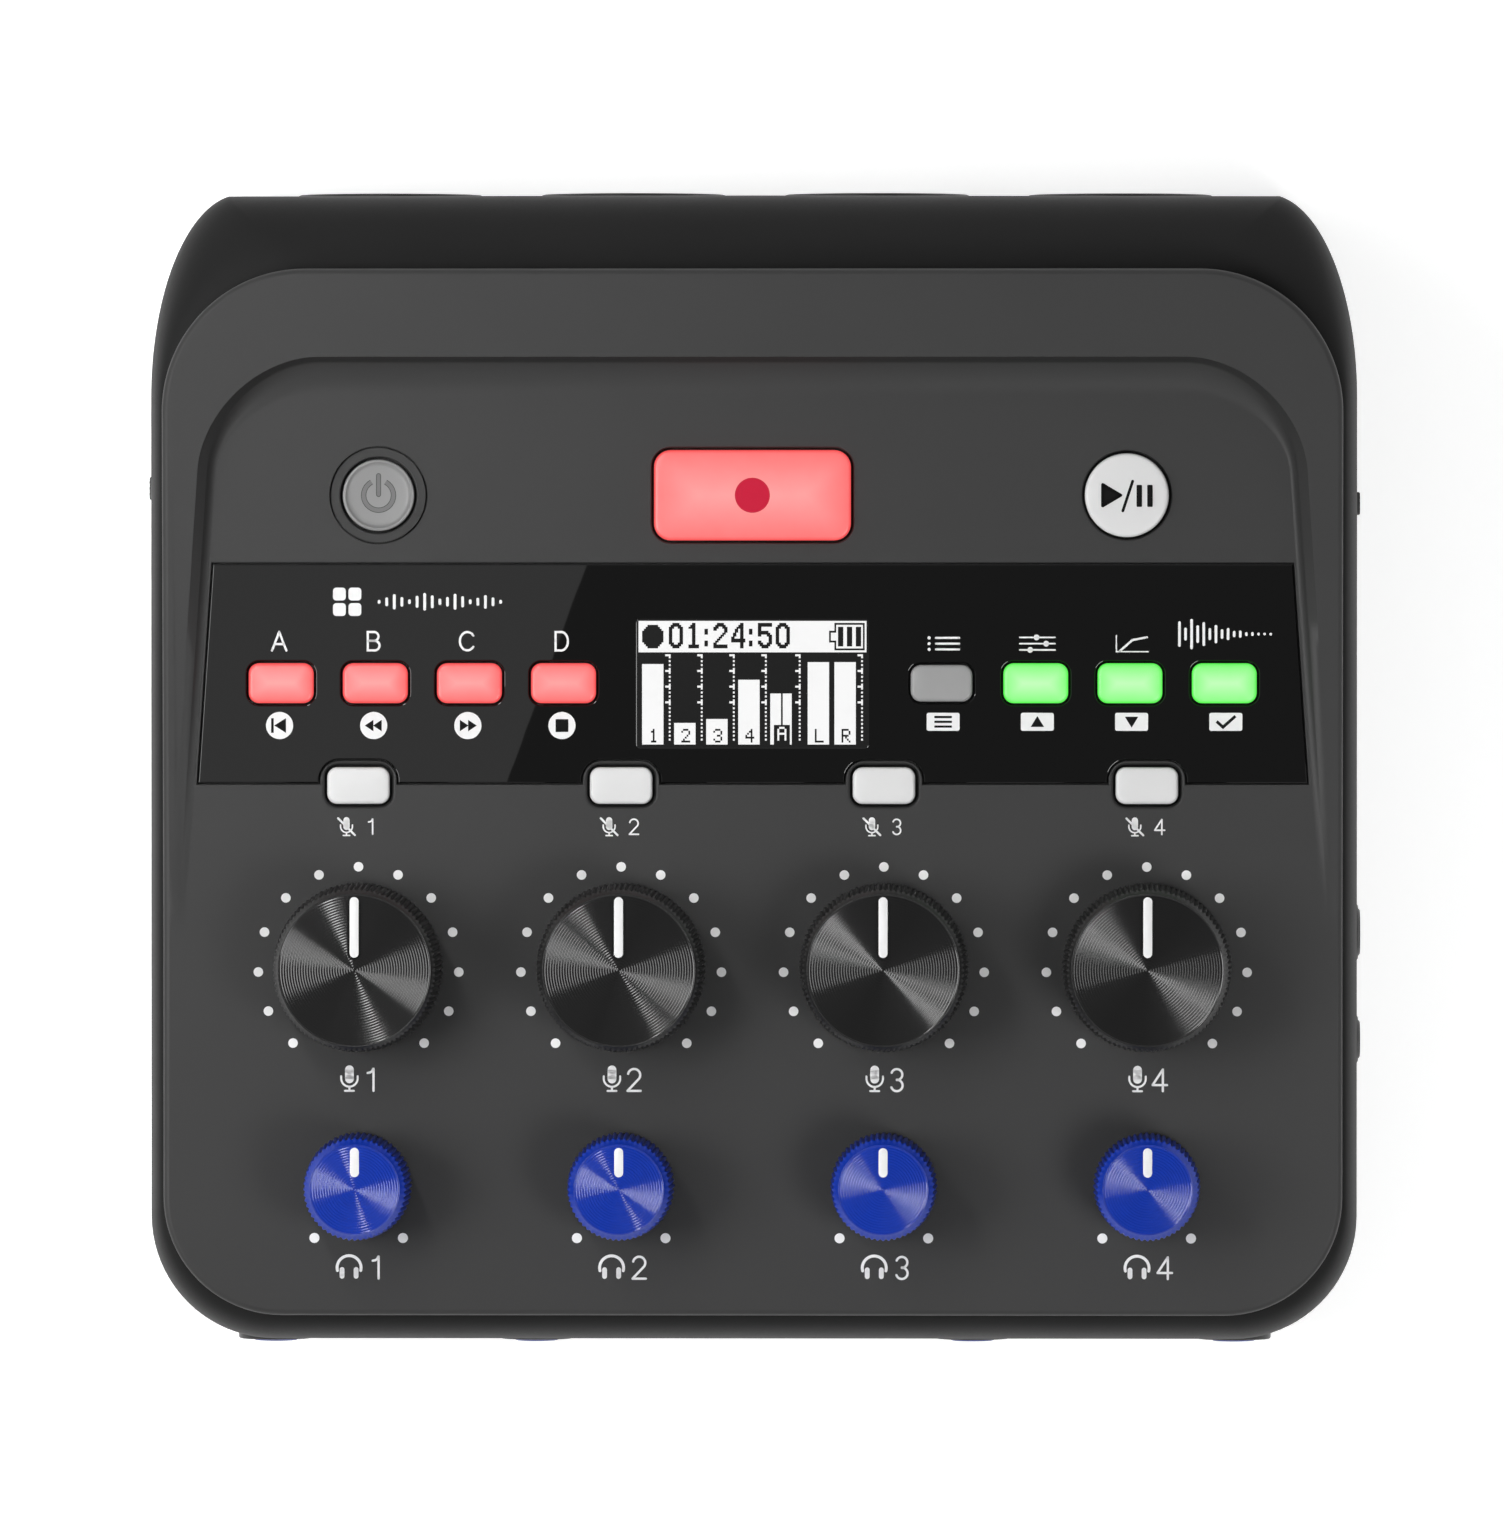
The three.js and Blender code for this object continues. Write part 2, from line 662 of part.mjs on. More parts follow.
function topCover() {
  const bottom = seamLevel + seatGap;
  const under = -deck.thickness;
  const lipOutside = bodyOutline(cover, lowerCase.wall + seatGap);
  const lipInside = bodyOutline(cover, lowerCase.wall + seatGap + cover.lip);
  const lipRing = cut(
    prism(lipOutside, seamLevel - cover.lipDepth, under),
    prism(lipInside, seamLevel - cover.lipDepth - overrun, under),
  );
  const skin = join(rimSolid(bottom), coverSkin(bottom, () => 0));
  const body = cut(skin, prism(lipInside, bottom - overrun, under));
  const postAcross = boardHalfWidth - post.inset;
  const posts = postRowShares.flatMap((share) =>
    [-postAcross, postAcross].map((x) => {
      const row = share * (boardFront + boardRear) - boardFront;
      return prism(circle(post.radius, x, row, smallRoundSteps), seatGap - board.top, under / 2);
    }),
  );
  const pocket = prism(windowOutline(windowGap), windowBed, overrun);
  const glassHole = prism(displayOutline(runningGap), under - overrun, windowBed + overrun);
  const keyHoles = [...squareKeys, ...roundKeys].map((key) => keyOpening(key, under - overrun));
  const shaftHoles = knobRows.flatMap(({ row }) =>
    channelXs.map((x) => {
      return prism(circle(shaft.holeRadius, x, row, smallRoundSteps), under - overrun, overrun);
    }),
  );
  return cut(join(body, lipRing, ...posts), pocket, glassHole, collarGroove(), ...keyHoles, ...shaftHoles);
}

function windowSolid() {
  const panelKeys = squareKeys.filter(({ y }) => y === padRow);
  const openings = panelKeys.map((key) => keyOpening(key, -windowPanel.thickness - overrun));
  return cut(prism(windowOutline(0), -windowPanel.thickness, 0), ...openings);
}

function squareKey(key) {
  const top = key.size.proud;
  return solidOf(
    loft([
      ringAt(capOutline(key, keyFlange.overlap), flangeBottom),
      ringAt(capOutline(key, keyFlange.overlap), flangeTop),
      ringAt(capOutline(key, 0), flangeTop),
      ringAt(capOutline(key, 0), top - keyEdge),
      ringAt(capOutline(key, -keyEdge), top),
    ]),
  );
}

// A round key, with a dished face where its size states a dish
function roundKey({ size, x, y }) {
  const flat = [[size.radius - keyEdge, size.proud]];
  const dished = [
    [size.radius - size.dishInset, size.proud],
    [size.radius - size.dishInset - size.dish, size.proud - size.dish],
  ];
  const face = size.dish ? dished : flat;
  const floor = face[face.length - 1][1];
  return turned([
    [0, flangeBottom],
    [size.radius + keyFlange.overlap, flangeBottom],
    [size.radius + keyFlange.overlap, flangeTop],
    [size.radius, flangeTop],
    [size.radius, size.proud - keyEdge],
    ...face,
    [0, floor],
  ]).translate([x, y, 0]);
}

// A knob with a fluted grip, a smooth bevel and a pointer cut into its face
function knobSolid(knob, x, row) {
  const topRadius = knob.baseRadius - knob.taper;
  const faceRadius = topRadius - knob.bevel;
  const ring = (radius, depth, level) =>
    Array.from({ length: 2 * knob.fluteCount }, (_, step) => {
      const angle = (step / knob.fluteCount) * Math.PI;
      const reach = radius - (step % 2) * depth;
      return new THREE.Vector3(reach * Math.cos(angle), reach * Math.sin(angle), level);
    });
  const grip = solidOf(
    loft([
      ring(knob.baseRadius, knob.fluteDepth, knobLift),
      ring(topRadius, knob.fluteDepth, knob.height - knob.bevel),
      ring(faceRadius, 0, knob.height),
    ]),
  );
  const bore = shaftSolid(runningGap, shaft.engagement + knobLift + seatGap, knobLift - overrun);
  const pointerGroove = block(
    [-pointer.width / 2, pointer.from, knob.height - pointer.depth],
    [pointer.width / 2, faceRadius - pointer.inset, knob.height + overrun],
  );
  return cut(grip, bore, pointerGroove).translate([x, row, 0]);
}

// The pot's shaft, round with one flat, grown by a clearance
function shaftSolid(grow, top, bottom) {
  const radius = shaft.radius + grow;
  const flat = shaft.radius - shaft.flat + grow;
  const flatten = (point) => new THREE.Vector2(point.x, Math.max(point.y, -flat));
  return prism(circle(radius, 0, 0, smallRoundSteps).map(flatten), bottom, top);
}

// A potentiometer on the board, with the hole that its shaft turns in
function potSolid(pot, x, y) {
  const half = pot.size / 2;
  const top = pot.height - board.top;
  const can = block([x - half, y - half, boardMiddle], [x + half, y + half, top]);
  const sleeve = circle(shaft.radius + runningGap, x, y, smallRoundSteps);
  return cut(can, prism(sleeve, top - shaft.sunk - seatGap, top + overrun));
}

// A key's switch on the board, with room for the key's travel over it
function switchBody({ x, y }) {
  const half = tactSwitch.size / 2;
  const top = flangeBottom - tactSwitch.keyTravelRoom;
  return block([x - half, y - half, boardMiddle], [x + half, y + half, top]);
}

function mainBoard() {
  const depth = boardFront + boardRear;
  const outline = roundedRectangle(2 * boardHalfWidth, depth, board.radius, 0, boardRear - depth / 2);
  const pots = knobRows.flatMap(({ pot, row }) => channelXs.map((x) => potSolid(pot, x, row)));
  const switches = [...squareKeys, ...roundKeys].map(switchBody);
  return join(prism(outline, boardUnder, -board.top), ...pots, ...switches);
}

function displayOutline(grow) {
  return roundedRectangle(display.width + 2 * grow, display.depth + 2 * grow, display.corner, 0, padRow);
}

// The display: a glass that fills the cover's opening, on a frame that stands on the board
function displayModule() {
  const glass = prism(displayOutline(0), -deck.thickness, windowBed);
  const frame = prism(displayOutline(-display.frameInset), seatGap - board.top, windowBed);
  return join(glass, frame);
}

// A microphone socket: an outer ring, an annular channel for the plug's sleeve, and a core with
// three contact holes. Made along +Z with its ring's face at zero.
function socketSolid() {
  const body = turned([
    [0, -socket.bodyDepth],
    [socket.bodyRadius, -socket.bodyDepth],
    [socket.bodyRadius, -socket.ringDepth],
    [socket.ringRadius, -socket.ringDepth],
    [socket.ringRadius, 0],
    [socket.channelOuter + socket.bevel, 0],
    [socket.channelOuter, -socket.bevel],
    [socket.channelOuter, -socket.channelDepth],
    [socket.channelInner, -socket.channelDepth],
    [socket.channelInner, -socket.coreSetBack],
    [0, -socket.coreSetBack],
  ]);
  const pins = socket.pinAngles.map((angle) => {
    const x = socket.pinCircle * Math.cos(angle);
    const y = socket.pinCircle * Math.sin(angle);
    return prism(circle(socket.pinRadius, x, y, pinSteps), -socket.pinDepth, overrun);
  });
  return cut(body, ...pins);
}

// A mini jack along +Z: a ring in a bezel, a block behind the wall, and the plug's bore
function miniJack({ bezelRadius, bezelProud, ringRadius, ringProud, setBack, body, bodyDepth }) {
  const ringTop = bezelProud + ringProud;
  const barrel = turned(
    [
      [0, -setBack - seatGap],
      [bezelRadius, -setBack - seatGap],
      [bezelRadius, bezelProud],
      [ringRadius, bezelProud],
      [ringRadius, ringTop],
      [0, ringTop],
    ],
    smallRoundSteps,
  );
  const housing = block([-body / 2, -body / 2, -setBack - bodyDepth], [body / 2, body / 2, -setBack]);
  const bore = prism(circle(jackBore.radius, 0, 0, smallRoundSteps), -jackBore.depth, ringTop + overrun);
  return cut(join(barrel, housing), bore);
}

// Outline of a receptacle with round ends, standing along the wall
function usbOutline(grow) {
  const { width, height } = usbPort;
  return roundedRectangle(height + 2 * grow, width + 2 * grow, height / 2 + grow);
}

// A receptacle with a steel shell round a central tongue, along +Z
function usbSolid() {
  const { width, shell, depth, tongue, tongueInset } = usbPort;
  const tongueHalf = width / 2 - shell - tongueInset;
  const blade = block([-tongue / 2, -tongueHalf, -depth], [tongue / 2, tongueHalf, -shell]);
  const hull = cut(prism(usbOutline(0), -depth, 0), prism(usbOutline(-shell), shell - depth, overrun));
  return join(hull, blade);
}

function cardSlotSolid() {
  const { width, height, depth, slotWidth, slotHeight, slotDepth } = cardSlot;
  const housing = block([-height / 2, -width / 2, -depth], [height / 2, width / 2, 0]);
  const halfHeight = slotHeight / 2;
  const halfWidth = slotWidth / 2;
  return cut(housing, block([-halfHeight, -halfWidth, -slotDepth], [halfHeight, halfWidth, overrun]));
}

// A slide switch's thumb piece along +Z, with the flange that keeps it behind the wall
function switchSolid() {
  const { height, length, proud, travel, flange, flangeThickness } = slideSwitch;
  const inner = -lowerCase.wall - runningGap;
  const nub = block([-height / 2, -length / 2, inner - flangeThickness], [height / 2, length / 2, proud]);
  const halfHeight = height / 2 + flange;
  const halfLength = length / 2 + travel + flange;
  const plate = block([-halfHeight, -halfLength, inner - flangeThickness], [halfHeight, halfLength, inner]);
  return join(nub, plate);
}

// The slot it slides in, from its rear stop, where it rests, to its front one
function switchSlot() {
  const halfHeight = slideSwitch.height / 2 + runningGap;
  const rear = slideSwitch.length / 2 + runningGap;
  const front = rear + slideSwitch.travel;
  return block([-halfHeight, -front, -lowerCase.wall - overrun], [halfHeight, rear, overrun]);
}

// A block centred on the battery bay, between two levels
function bayBox(halfX, halfY, low, high) {
  return block([-halfX, bay.row - halfY, low], [halfX, bay.row + halfY, high]);
}

function bayHousing() {
  const margin = seatGap + bay.wall;
  return bayBox(doorHalfX + margin, doorHalfY + margin, caseBottom, pocketTop + bay.roof);
}

function bayPocket() {
  return join(
    bayBox(pocketHalfX, pocketHalfY, caseBottom - overrun, pocketTop),
    bayBox(doorHalfX + seatGap, doorHalfY + seatGap, caseBottom - overrun, doorTop + seatGap),
  );
}

function batteryDoor() {
  const gripRow = bay.row - doorHalfY + door.gripDepth;
  const grip = roundedRectangle(door.gripWidth, door.gripDepth, door.gripDepth / 2, 0, gripRow);
  const finger = prism(grip, caseBottom - overrun, caseBottom + door.gripSunk);
  return cut(bayBox(doorHalfX, doorHalfY, caseBottom, doorTop), finger);
}

function cellSolid(row, direction) {
  const half = (cell.length + cell.nubLength) / 2;
  const profile = [
    [0, -half],
    [cell.radius, -half],
    [cell.radius, half - cell.nubLength],
    [cell.nubRadius, half - cell.nubLength],
    [cell.nubRadius, half],
    [0, half],
  ];
  return turned(profile, smallRoundSteps)
    .rotate([0, direction * quarterTurn, 0])
    .translate([0, row, cellAxis]);
}

// The four corners of the underside, inset from the case's edges
function undersideCorners({ acrossInset, frontInset, rearInset }) {
  const across = lowerCase.halfWidth - acrossInset;
  const front = frontInset - lowerCase.front;
  const rear = lowerCase.rear - rearInset;
  return [
    { name: 'front_left', x: -across, y: front },
    { name: 'front_right', x: across, y: front },
    { name: 'rear_left', x: -across, y: rear },
    { name: 'rear_right', x: across, y: rear },
  ];
}
const feet = undersideCorners(foot);
const screwWells = undersideCorners(screwWell);

// Places of what stands in the walls, in the deck's frame
const socketPlace = (x) => [x, rearFaceAt(x) + socket.ringProud, socketLevel];
const phonesJackPlaces = jackReachShares.map((share) => [share * jackReach, -lowerCase.front, jackLevel]);
const sideJackPlace = ({ fromFront }) => [lowerCase.halfWidth, sideWallFront + fromFront, jackLevel];
const leftPortPlace = ({ sunk, fromFront }) => {
  return [sunk - lowerCase.halfWidth, sideWallFront + fromFront, jackLevel];
};
const leftSwitchPlace = [-lowerCase.halfWidth, sideWallRear - slideSwitch.leftFromRear, jackLevel];
const rightSwitchPlace = [lowerCase.halfWidth, sideWallRear - slideSwitch.rightFromRear, jackLevel];

// Tools that open the walls for the sockets, jacks and switches, in the deck's frame
function wallOpenings() {
  const depth = -2 * lowerCase.wall - overrun;
  const hole = (radius) => prism(circle(radius + runningGap), depth, overrun);
  const halfHeight = cardSlot.height / 2 + seatGap;
  const halfWidth = cardSlot.width / 2 + seatGap;
  const cardHole = block([-halfHeight, -halfWidth, depth], [halfHeight, halfWidth, overrun]);
  return [
    ...socketXs.map((x) => onWall(hole(socket.ringRadius), 'rear', socketPlace(x))),
    ...phonesJackPlaces.map((place) => onWall(hole(phonesJack.bezelRadius), 'front', place)),
    ...[callJack, lineJack].map((jack) => onWall(hole(jack.bezelRadius), 'right', sideJackPlace(jack))),
    onWall(prism(usbOutline(seatGap), depth, overrun), 'left', leftPortPlace(usbPort)),
    onWall(cardHole, 'left', leftPortPlace(cardSlot)),
    onWall(switchSlot(), 'left', leftSwitchPlace),
    onWall(switchSlot(), 'right', rightSwitchPlace),
  ];
}

// A round seat cut up into the underside
function undersideSeat({ x, y }, radius, depth, steps) {
  return prism(circle(radius, x, y, steps), caseBottom - overrun, caseBottom + depth);
}

function lowerCaseSolid() {
  const skin = caseSkin(0, caseBottom, seamLevel, skinSteps);
  const floorTop = caseBottom + lowerCase.floor;
  const hollow = caseSkin(lowerCase.wall, floorTop, seamLevel + overrun, hollowSteps);
  const seatRadius = foot.radius + seatGap;
  const footSeats = feet.map((place) => undersideSeat(place, seatRadius, foot.sunk + seatGap, roundSteps));
  const wells = screwWells.map((place) => {
    return undersideSeat(place, screwWell.radius, screwWell.depth, smallRoundSteps);
  });
  const shell = join(cut(skin, hollow), bayHousing());
  return cut(shell, bayPocket(), ...wallOpenings().map(inDeckFrame), ...footSeats, ...wells);
}

// Everything that is square to the deck is built in the deck's own turned group
const deckGroup = new THREE.Group();
deckGroup.applyMatrix4(deckFrame);
deckGroup.add(
  node('top_cover', topCover(), 'coverGrey'),
  node('window_panel', windowSolid(), 'windowBlack'),
  node('main_board', mainBoard(), 'boardGreen'),
  node('display_module', displayModule(), 'displayDark'),
);
squareKeys.forEach((key) => deckGroup.add(node(key.name, squareKey(key), key.finish)));
roundKeys.forEach((key) => deckGroup.add(node(key.name, roundKey(key), key.finish)));
knobRows.forEach(({ name, knob, pot, row, finish }) => {
  channelXs.forEach((x, index) => {
    const bottom = pot.height - board.top - shaft.sunk;
    const stem = shaftSolid(0, shaft.engagement + knobLift, bottom).translate([x, row, 0]);
    deckGroup.add(node(`${name}_knob_${index + 1}`, knobSolid(knob, x, row), finish));
    deckGroup.add(node(`${name}_shaft_${index + 1}`, stem, 'steel'));
  });
});
socketXs.forEach((x, index) => {
  const solid = onWall(socketSolid(), 'rear', socketPlace(x));
  deckGroup.add(node(`mic_socket_${index + 1}`, solid, 'socketBlack'));
});
phonesJackPlaces.forEach((place, index) => {
  const solid = onWall(miniJack(phonesJack), 'front', place);
  deckGroup.add(node(`phones_jack_${index + 1}`, solid, 'socketBlack'));
});
deckGroup.add(
  node('phone_call_jack', onWall(miniJack(callJack), 'right', sideJackPlace(callJack)), 'socketBlack'),
  node('line_jack', onWall(miniJack(lineJack), 'right', sideJackPlace(lineJack)), 'socketBlack'),
  node('usb_port', onWall(usbSolid(), 'left', leftPortPlace(usbPort)), 'steel'),
  node('card_slot', onWall(cardSlotSolid(), 'left', leftPortPlace(cardSlot)), 'socketBlack'),
  node('slide_switch_left', onWall(switchSolid(), 'left', leftSwitchPlace), 'socketBlack'),
  node('slide_switch_right', onWall(switchSolid(), 'right', rightSwitchPlace), 'socketBlack'),
);

const mixer = new THREE.Group();
mixer.add(
  deckGroup,
  node('lower_case', lowerCaseSolid(), 'caseBlack'),
  node('battery_door', batteryDoor(), 'caseBlack'),
  node('battery_1', cellSolid(bay.row - cell.radius - seatGap / 2, 1), 'cellGrey'),
  node('battery_2', cellSolid(bay.row + cell.radius + seatGap / 2, -1), 'cellGrey'),
);
feet.forEach(({ name, x, y }) => {
  mixer.add(node(`foot_${name}`, prism(circle(foot.radius, x, y), 0, caseBottom + foot.sunk), 'rubber'));
});
mixer.updateMatrixWorld(true);

export default mixer;
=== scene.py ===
import json
import math

import bpy
import numpy as np
from bpy.props import FloatProperty, FloatVectorProperty, IntProperty, PointerProperty
from bpy.types import Operator, Panel, PropertyGroup
from mathutils import Matrix, Vector


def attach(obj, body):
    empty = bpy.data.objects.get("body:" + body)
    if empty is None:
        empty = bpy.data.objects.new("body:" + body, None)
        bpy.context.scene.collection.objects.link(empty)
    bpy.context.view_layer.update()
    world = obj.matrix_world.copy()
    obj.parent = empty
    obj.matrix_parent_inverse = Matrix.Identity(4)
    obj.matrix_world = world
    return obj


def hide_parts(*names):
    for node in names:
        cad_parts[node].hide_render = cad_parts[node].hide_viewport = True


bl_info = {
    "name": "Podcast Mixer",
    "version": (1, 0, 0),
    "blender": (4, 5, 0),
    "location": "3D View > Sidebar > Mixer",
    "description": "Surfaces, finishes and studio of a podcast mixer, built round its packed solids",
    "category": "Object",
}

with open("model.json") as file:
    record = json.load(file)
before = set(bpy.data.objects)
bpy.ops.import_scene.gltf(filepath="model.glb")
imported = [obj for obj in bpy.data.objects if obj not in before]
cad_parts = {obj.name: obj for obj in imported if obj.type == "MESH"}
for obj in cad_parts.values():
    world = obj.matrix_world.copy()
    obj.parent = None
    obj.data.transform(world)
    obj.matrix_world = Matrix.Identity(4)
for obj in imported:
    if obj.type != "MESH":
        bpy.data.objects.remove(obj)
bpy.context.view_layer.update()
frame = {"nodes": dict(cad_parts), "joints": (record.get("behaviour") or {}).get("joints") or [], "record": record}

MM = 0.001
RIGHT_ANGLE = math.pi / 2

# Stance of the control deck: its own frame has +Z out of the panel and its origin in the middle
DECK_TILT = math.radians(3.5)
DECK_ORIGIN = np.array([0.0, -1.3, 36.0]) * MM
DECK_TURN = np.array(Matrix.Rotation(DECK_TILT, 3, "X"))
DECK_UP = DECK_TURN[:, 2]
DECK_STANCE = Matrix.Translation(Vector(DECK_ORIGIN)) @ Matrix.Rotation(DECK_TILT, 4, "X")

# Turns that make +Z of a part look out of each wall of the deck's frame
OUTWARD = {
    "rear": np.array(Matrix.Rotation(-RIGHT_ANGLE, 3, "X")),
    "front": np.array(Matrix.Rotation(RIGHT_ANGLE, 3, "X")),
    "right": np.array(Matrix.Rotation(RIGHT_ANGLE, 3, "Y")),
    "left": np.array(Matrix.Rotation(-RIGHT_ANGLE, 3, "Y")),
}

# The four channels, and the keys in the order in which they are built
CHANNELS = range(1, 5)
PAD_KEYS = ["pad_key_a", "pad_key_b", "pad_key_c", "pad_key_d"]
MENU_KEYS = ["menu_key", "function_key_1", "function_key_2", "function_key_3"]
MUTE_KEYS = [f"mute_key_{channel}" for channel in CHANNELS]
ROUND_KEYS = ["power_key", "play_key"]
ALL_KEYS = ["record_key", *ROUND_KEYS, *PAD_KEYS, *MENU_KEYS, *MUTE_KEYS]

# How finely curves are divided
FRONT_CORNER_STEPS = 20
REAR_CORNER_STEPS = 36
KEY_CORNER_STEPS = 8
ROUND_STEPS = 96
SMALL_STEPS = 40
EDGE_STEPS = 4

# Bends that show as edges: in general, on the knobs' teeth and on flat glass, and those that are rounded
# off on the rim
SHARP_ANGLE = math.radians(38)
GRIP_ANGLE = math.radians(60)
FINE_ANGLE = math.radians(8)
RIM_ANGLE = math.radians(50)

# How far a tool reaches past what it cuts
OVERRUN = 2 * MM

# Small sizes: the edges of a cap's hole under the window and of the window's pocket, how much thicker
# the cover is at its skirt, the radius of a shaft's hole, which its knob hides, and the depth of a
# jack's housing. The last five belong to the battery bay: a cell's nub, the room at its ends, half the
# sides of a contact plate in millimetres, the radius of a spring's wire and its turns
SHARP_EDGE = 0.01 * MM
POCKET_EDGE = 0.12 * MM
LIP = 0.9 * MM
SHAFT_HOLE = 4 * MM
JACK_HOUSING = 12 * MM
NUB = 1.1 * MM
END_ROOM = 2.1 * MM
PLATE_HALF = (0.15, 5, 5)
SPRING_WIRE = 0.22 * MM
SPRING_TURNS = 3.5

# Knobs: points for each tooth, how narrow the gaps between teeth are, the bevel's height for its width,
# points round the face and for each groove, how far the pointer's side and face stand over the knob's
# face in millimetres, how far its slot reaches past it, and the same rises for the slot
TOOTH_STEPS = 8
TOOTH_POWER = 1.5
BEVEL_SHARE = 0.9
FACE_STEPS = 192
GROOVE_STEPS = 4
POINTER_RISES = (0.02, 0.06)
SLOT_MARGIN = 0.32 * MM
SLOT_RISES = (0.005, 0.012)

# Looks: clouds in millimetres, the share that they take of a lit key, and how far streaks are drawn out
FLOW_SIZE = 18
HAZE_SIZE = 2.5
HAZE_SHARE = 0.12
DRAWN_OUT = 0.15

# Studio: each lamp's place over the deck and its two sides, in millimetres, and what the lamps look at
LAMPS = {
    "key_light": ((-345, -20, 420), (235, 240)),
    "fill_light": ((205, -150, 420), (130, 150)),
    "near_light": ((-122, 125, 262), (22, 210)),
    "ceiling_light": ((0, 0, 2000), (1000, 1000)),
}
LAMP_AIM = (0, -25, 10)
FLOOR_RADIUS = 3
FLOOR_DEPTH = 4 * MM
FLOOR_GLOW = 0.62
FLOOR_TONES = (0.86, 0.88)
# The backdrop is white to 40 degrees up and falls to the dim ceiling by 60 degrees: their sines
BACKDROP = (0.64, 0.87)
CEILING_SHARE = 0.2

# The material that each slot of the record wears
FINISH_OF_SLOT = {
    "cover_grey": "ABS, grey, fine mould texture",
    "case_black": "ABS, black, fine mould texture",
    "window_black": "Acrylic, smoked, polished",
    "board_green": "Solder resist on fibreglass board",
    "display_dark": "Glass, screen ground",
    "display_lit": "Organic LED cells, white, lit",
    "knob_black": "ABS, black, turned face",
    "knob_blue": "ABS, blue, turned face",
    "lamp_red": "Polycarbonate, red, lit",
    "lamp_green": "Polycarbonate, green, lit",
    "key_white": "Polycarbonate, white, satin",
    "key_grey": "Polycarbonate, grey, satin",
    "socket_black": "Nylon, black, moulded",
    "ring_blue": "ABS, blue ring, moulded",
    "contact_gold": "Bronze, sprung, gold-plated",
    "print_white": "Ink, white, screen print",
    "print_red": "Ink, red, screen print",
    "print_dark": "Ink, dark, screen print",
    "steel": "Steel, pressed, nickel-plated",
    "rubber": "Rubber, black, moulded",
    "cell_grey": "Vinyl sleeve on steel cell",
}


def length(name, millimetres, description):
    """A size that is written in millimetres and kept in metres."""
    return FloatProperty(name=name, description=description, default=millimetres * MM, precision=5, unit="LENGTH")


def turn(name, degrees, description):
    """An angle that is written in degrees and kept in radians."""
    return FloatProperty(name=name, description=description, default=math.radians(degrees), subtype="ANGLE")


def share(name, value, description):
    """A plain number, such as a share or a strength."""
    return FloatProperty(name=name, description=description, default=value, precision=3)


def count(name, number, description):
    """A whole number."""
    return IntProperty(name=name, description=description, default=number, min=1)


def linear(code):
    """Linear colour, with full opacity, of an sRGB hex value."""
    parts = [int(code[place : place + 2], 16) / 255 for place in (1, 3, 5)]
    return [part / 12.92 if part <= 0.04045 else ((part + 0.055) / 1.055) ** 2.4 for part in parts] + [1.0]


def colour(name, code, description):
    """A colour that is written as an sRGB hex value and kept linear."""
    return FloatVectorProperty(
        name=name, description=description, default=linear(code), size=4, min=0, max=1, subtype="COLOR"
    )


class MixerCaseSizes(PropertyGroup):
    """Lower case, measured in the deck's frame from its middle."""

    half_width: length("Half width", 75.8, "Half the width of the case at its widest level")
    front: length("Front", 71.85, "Distance of the front wall from the deck's middle")
    rear: length("Rear", 72.07, "Distance of the rear wall from the deck's middle")
    front_radius: length("Front radius", 15.5, "Radius of the front corners")
    rear_across: length("Rear across", 11.3, "Width of the rear corners")
    rear_along: length("Rear along", 25.5, "Depth of the rear corners")
    rear_sweep: turn("Rear sweep", 82, "Part of the rear corner's quarter before the rear face cuts it")
    crown: length("Crown", 0.11, "How far the rear face stands back at its middle")
    wall: length("Wall", 2.2, "Thickness of the walls")
    bottom: length("Bottom", 1.5, "Height of the underside over the foot plane")
    floor: length("Floor", 2.2, "Thickness of the floor")
    shoulder: length("Shoulder", 9, "Height of the domed shoulder under the seam")
    bottom_round: length("Bottom round", 2.4, "Radius of the rolled lower edge")


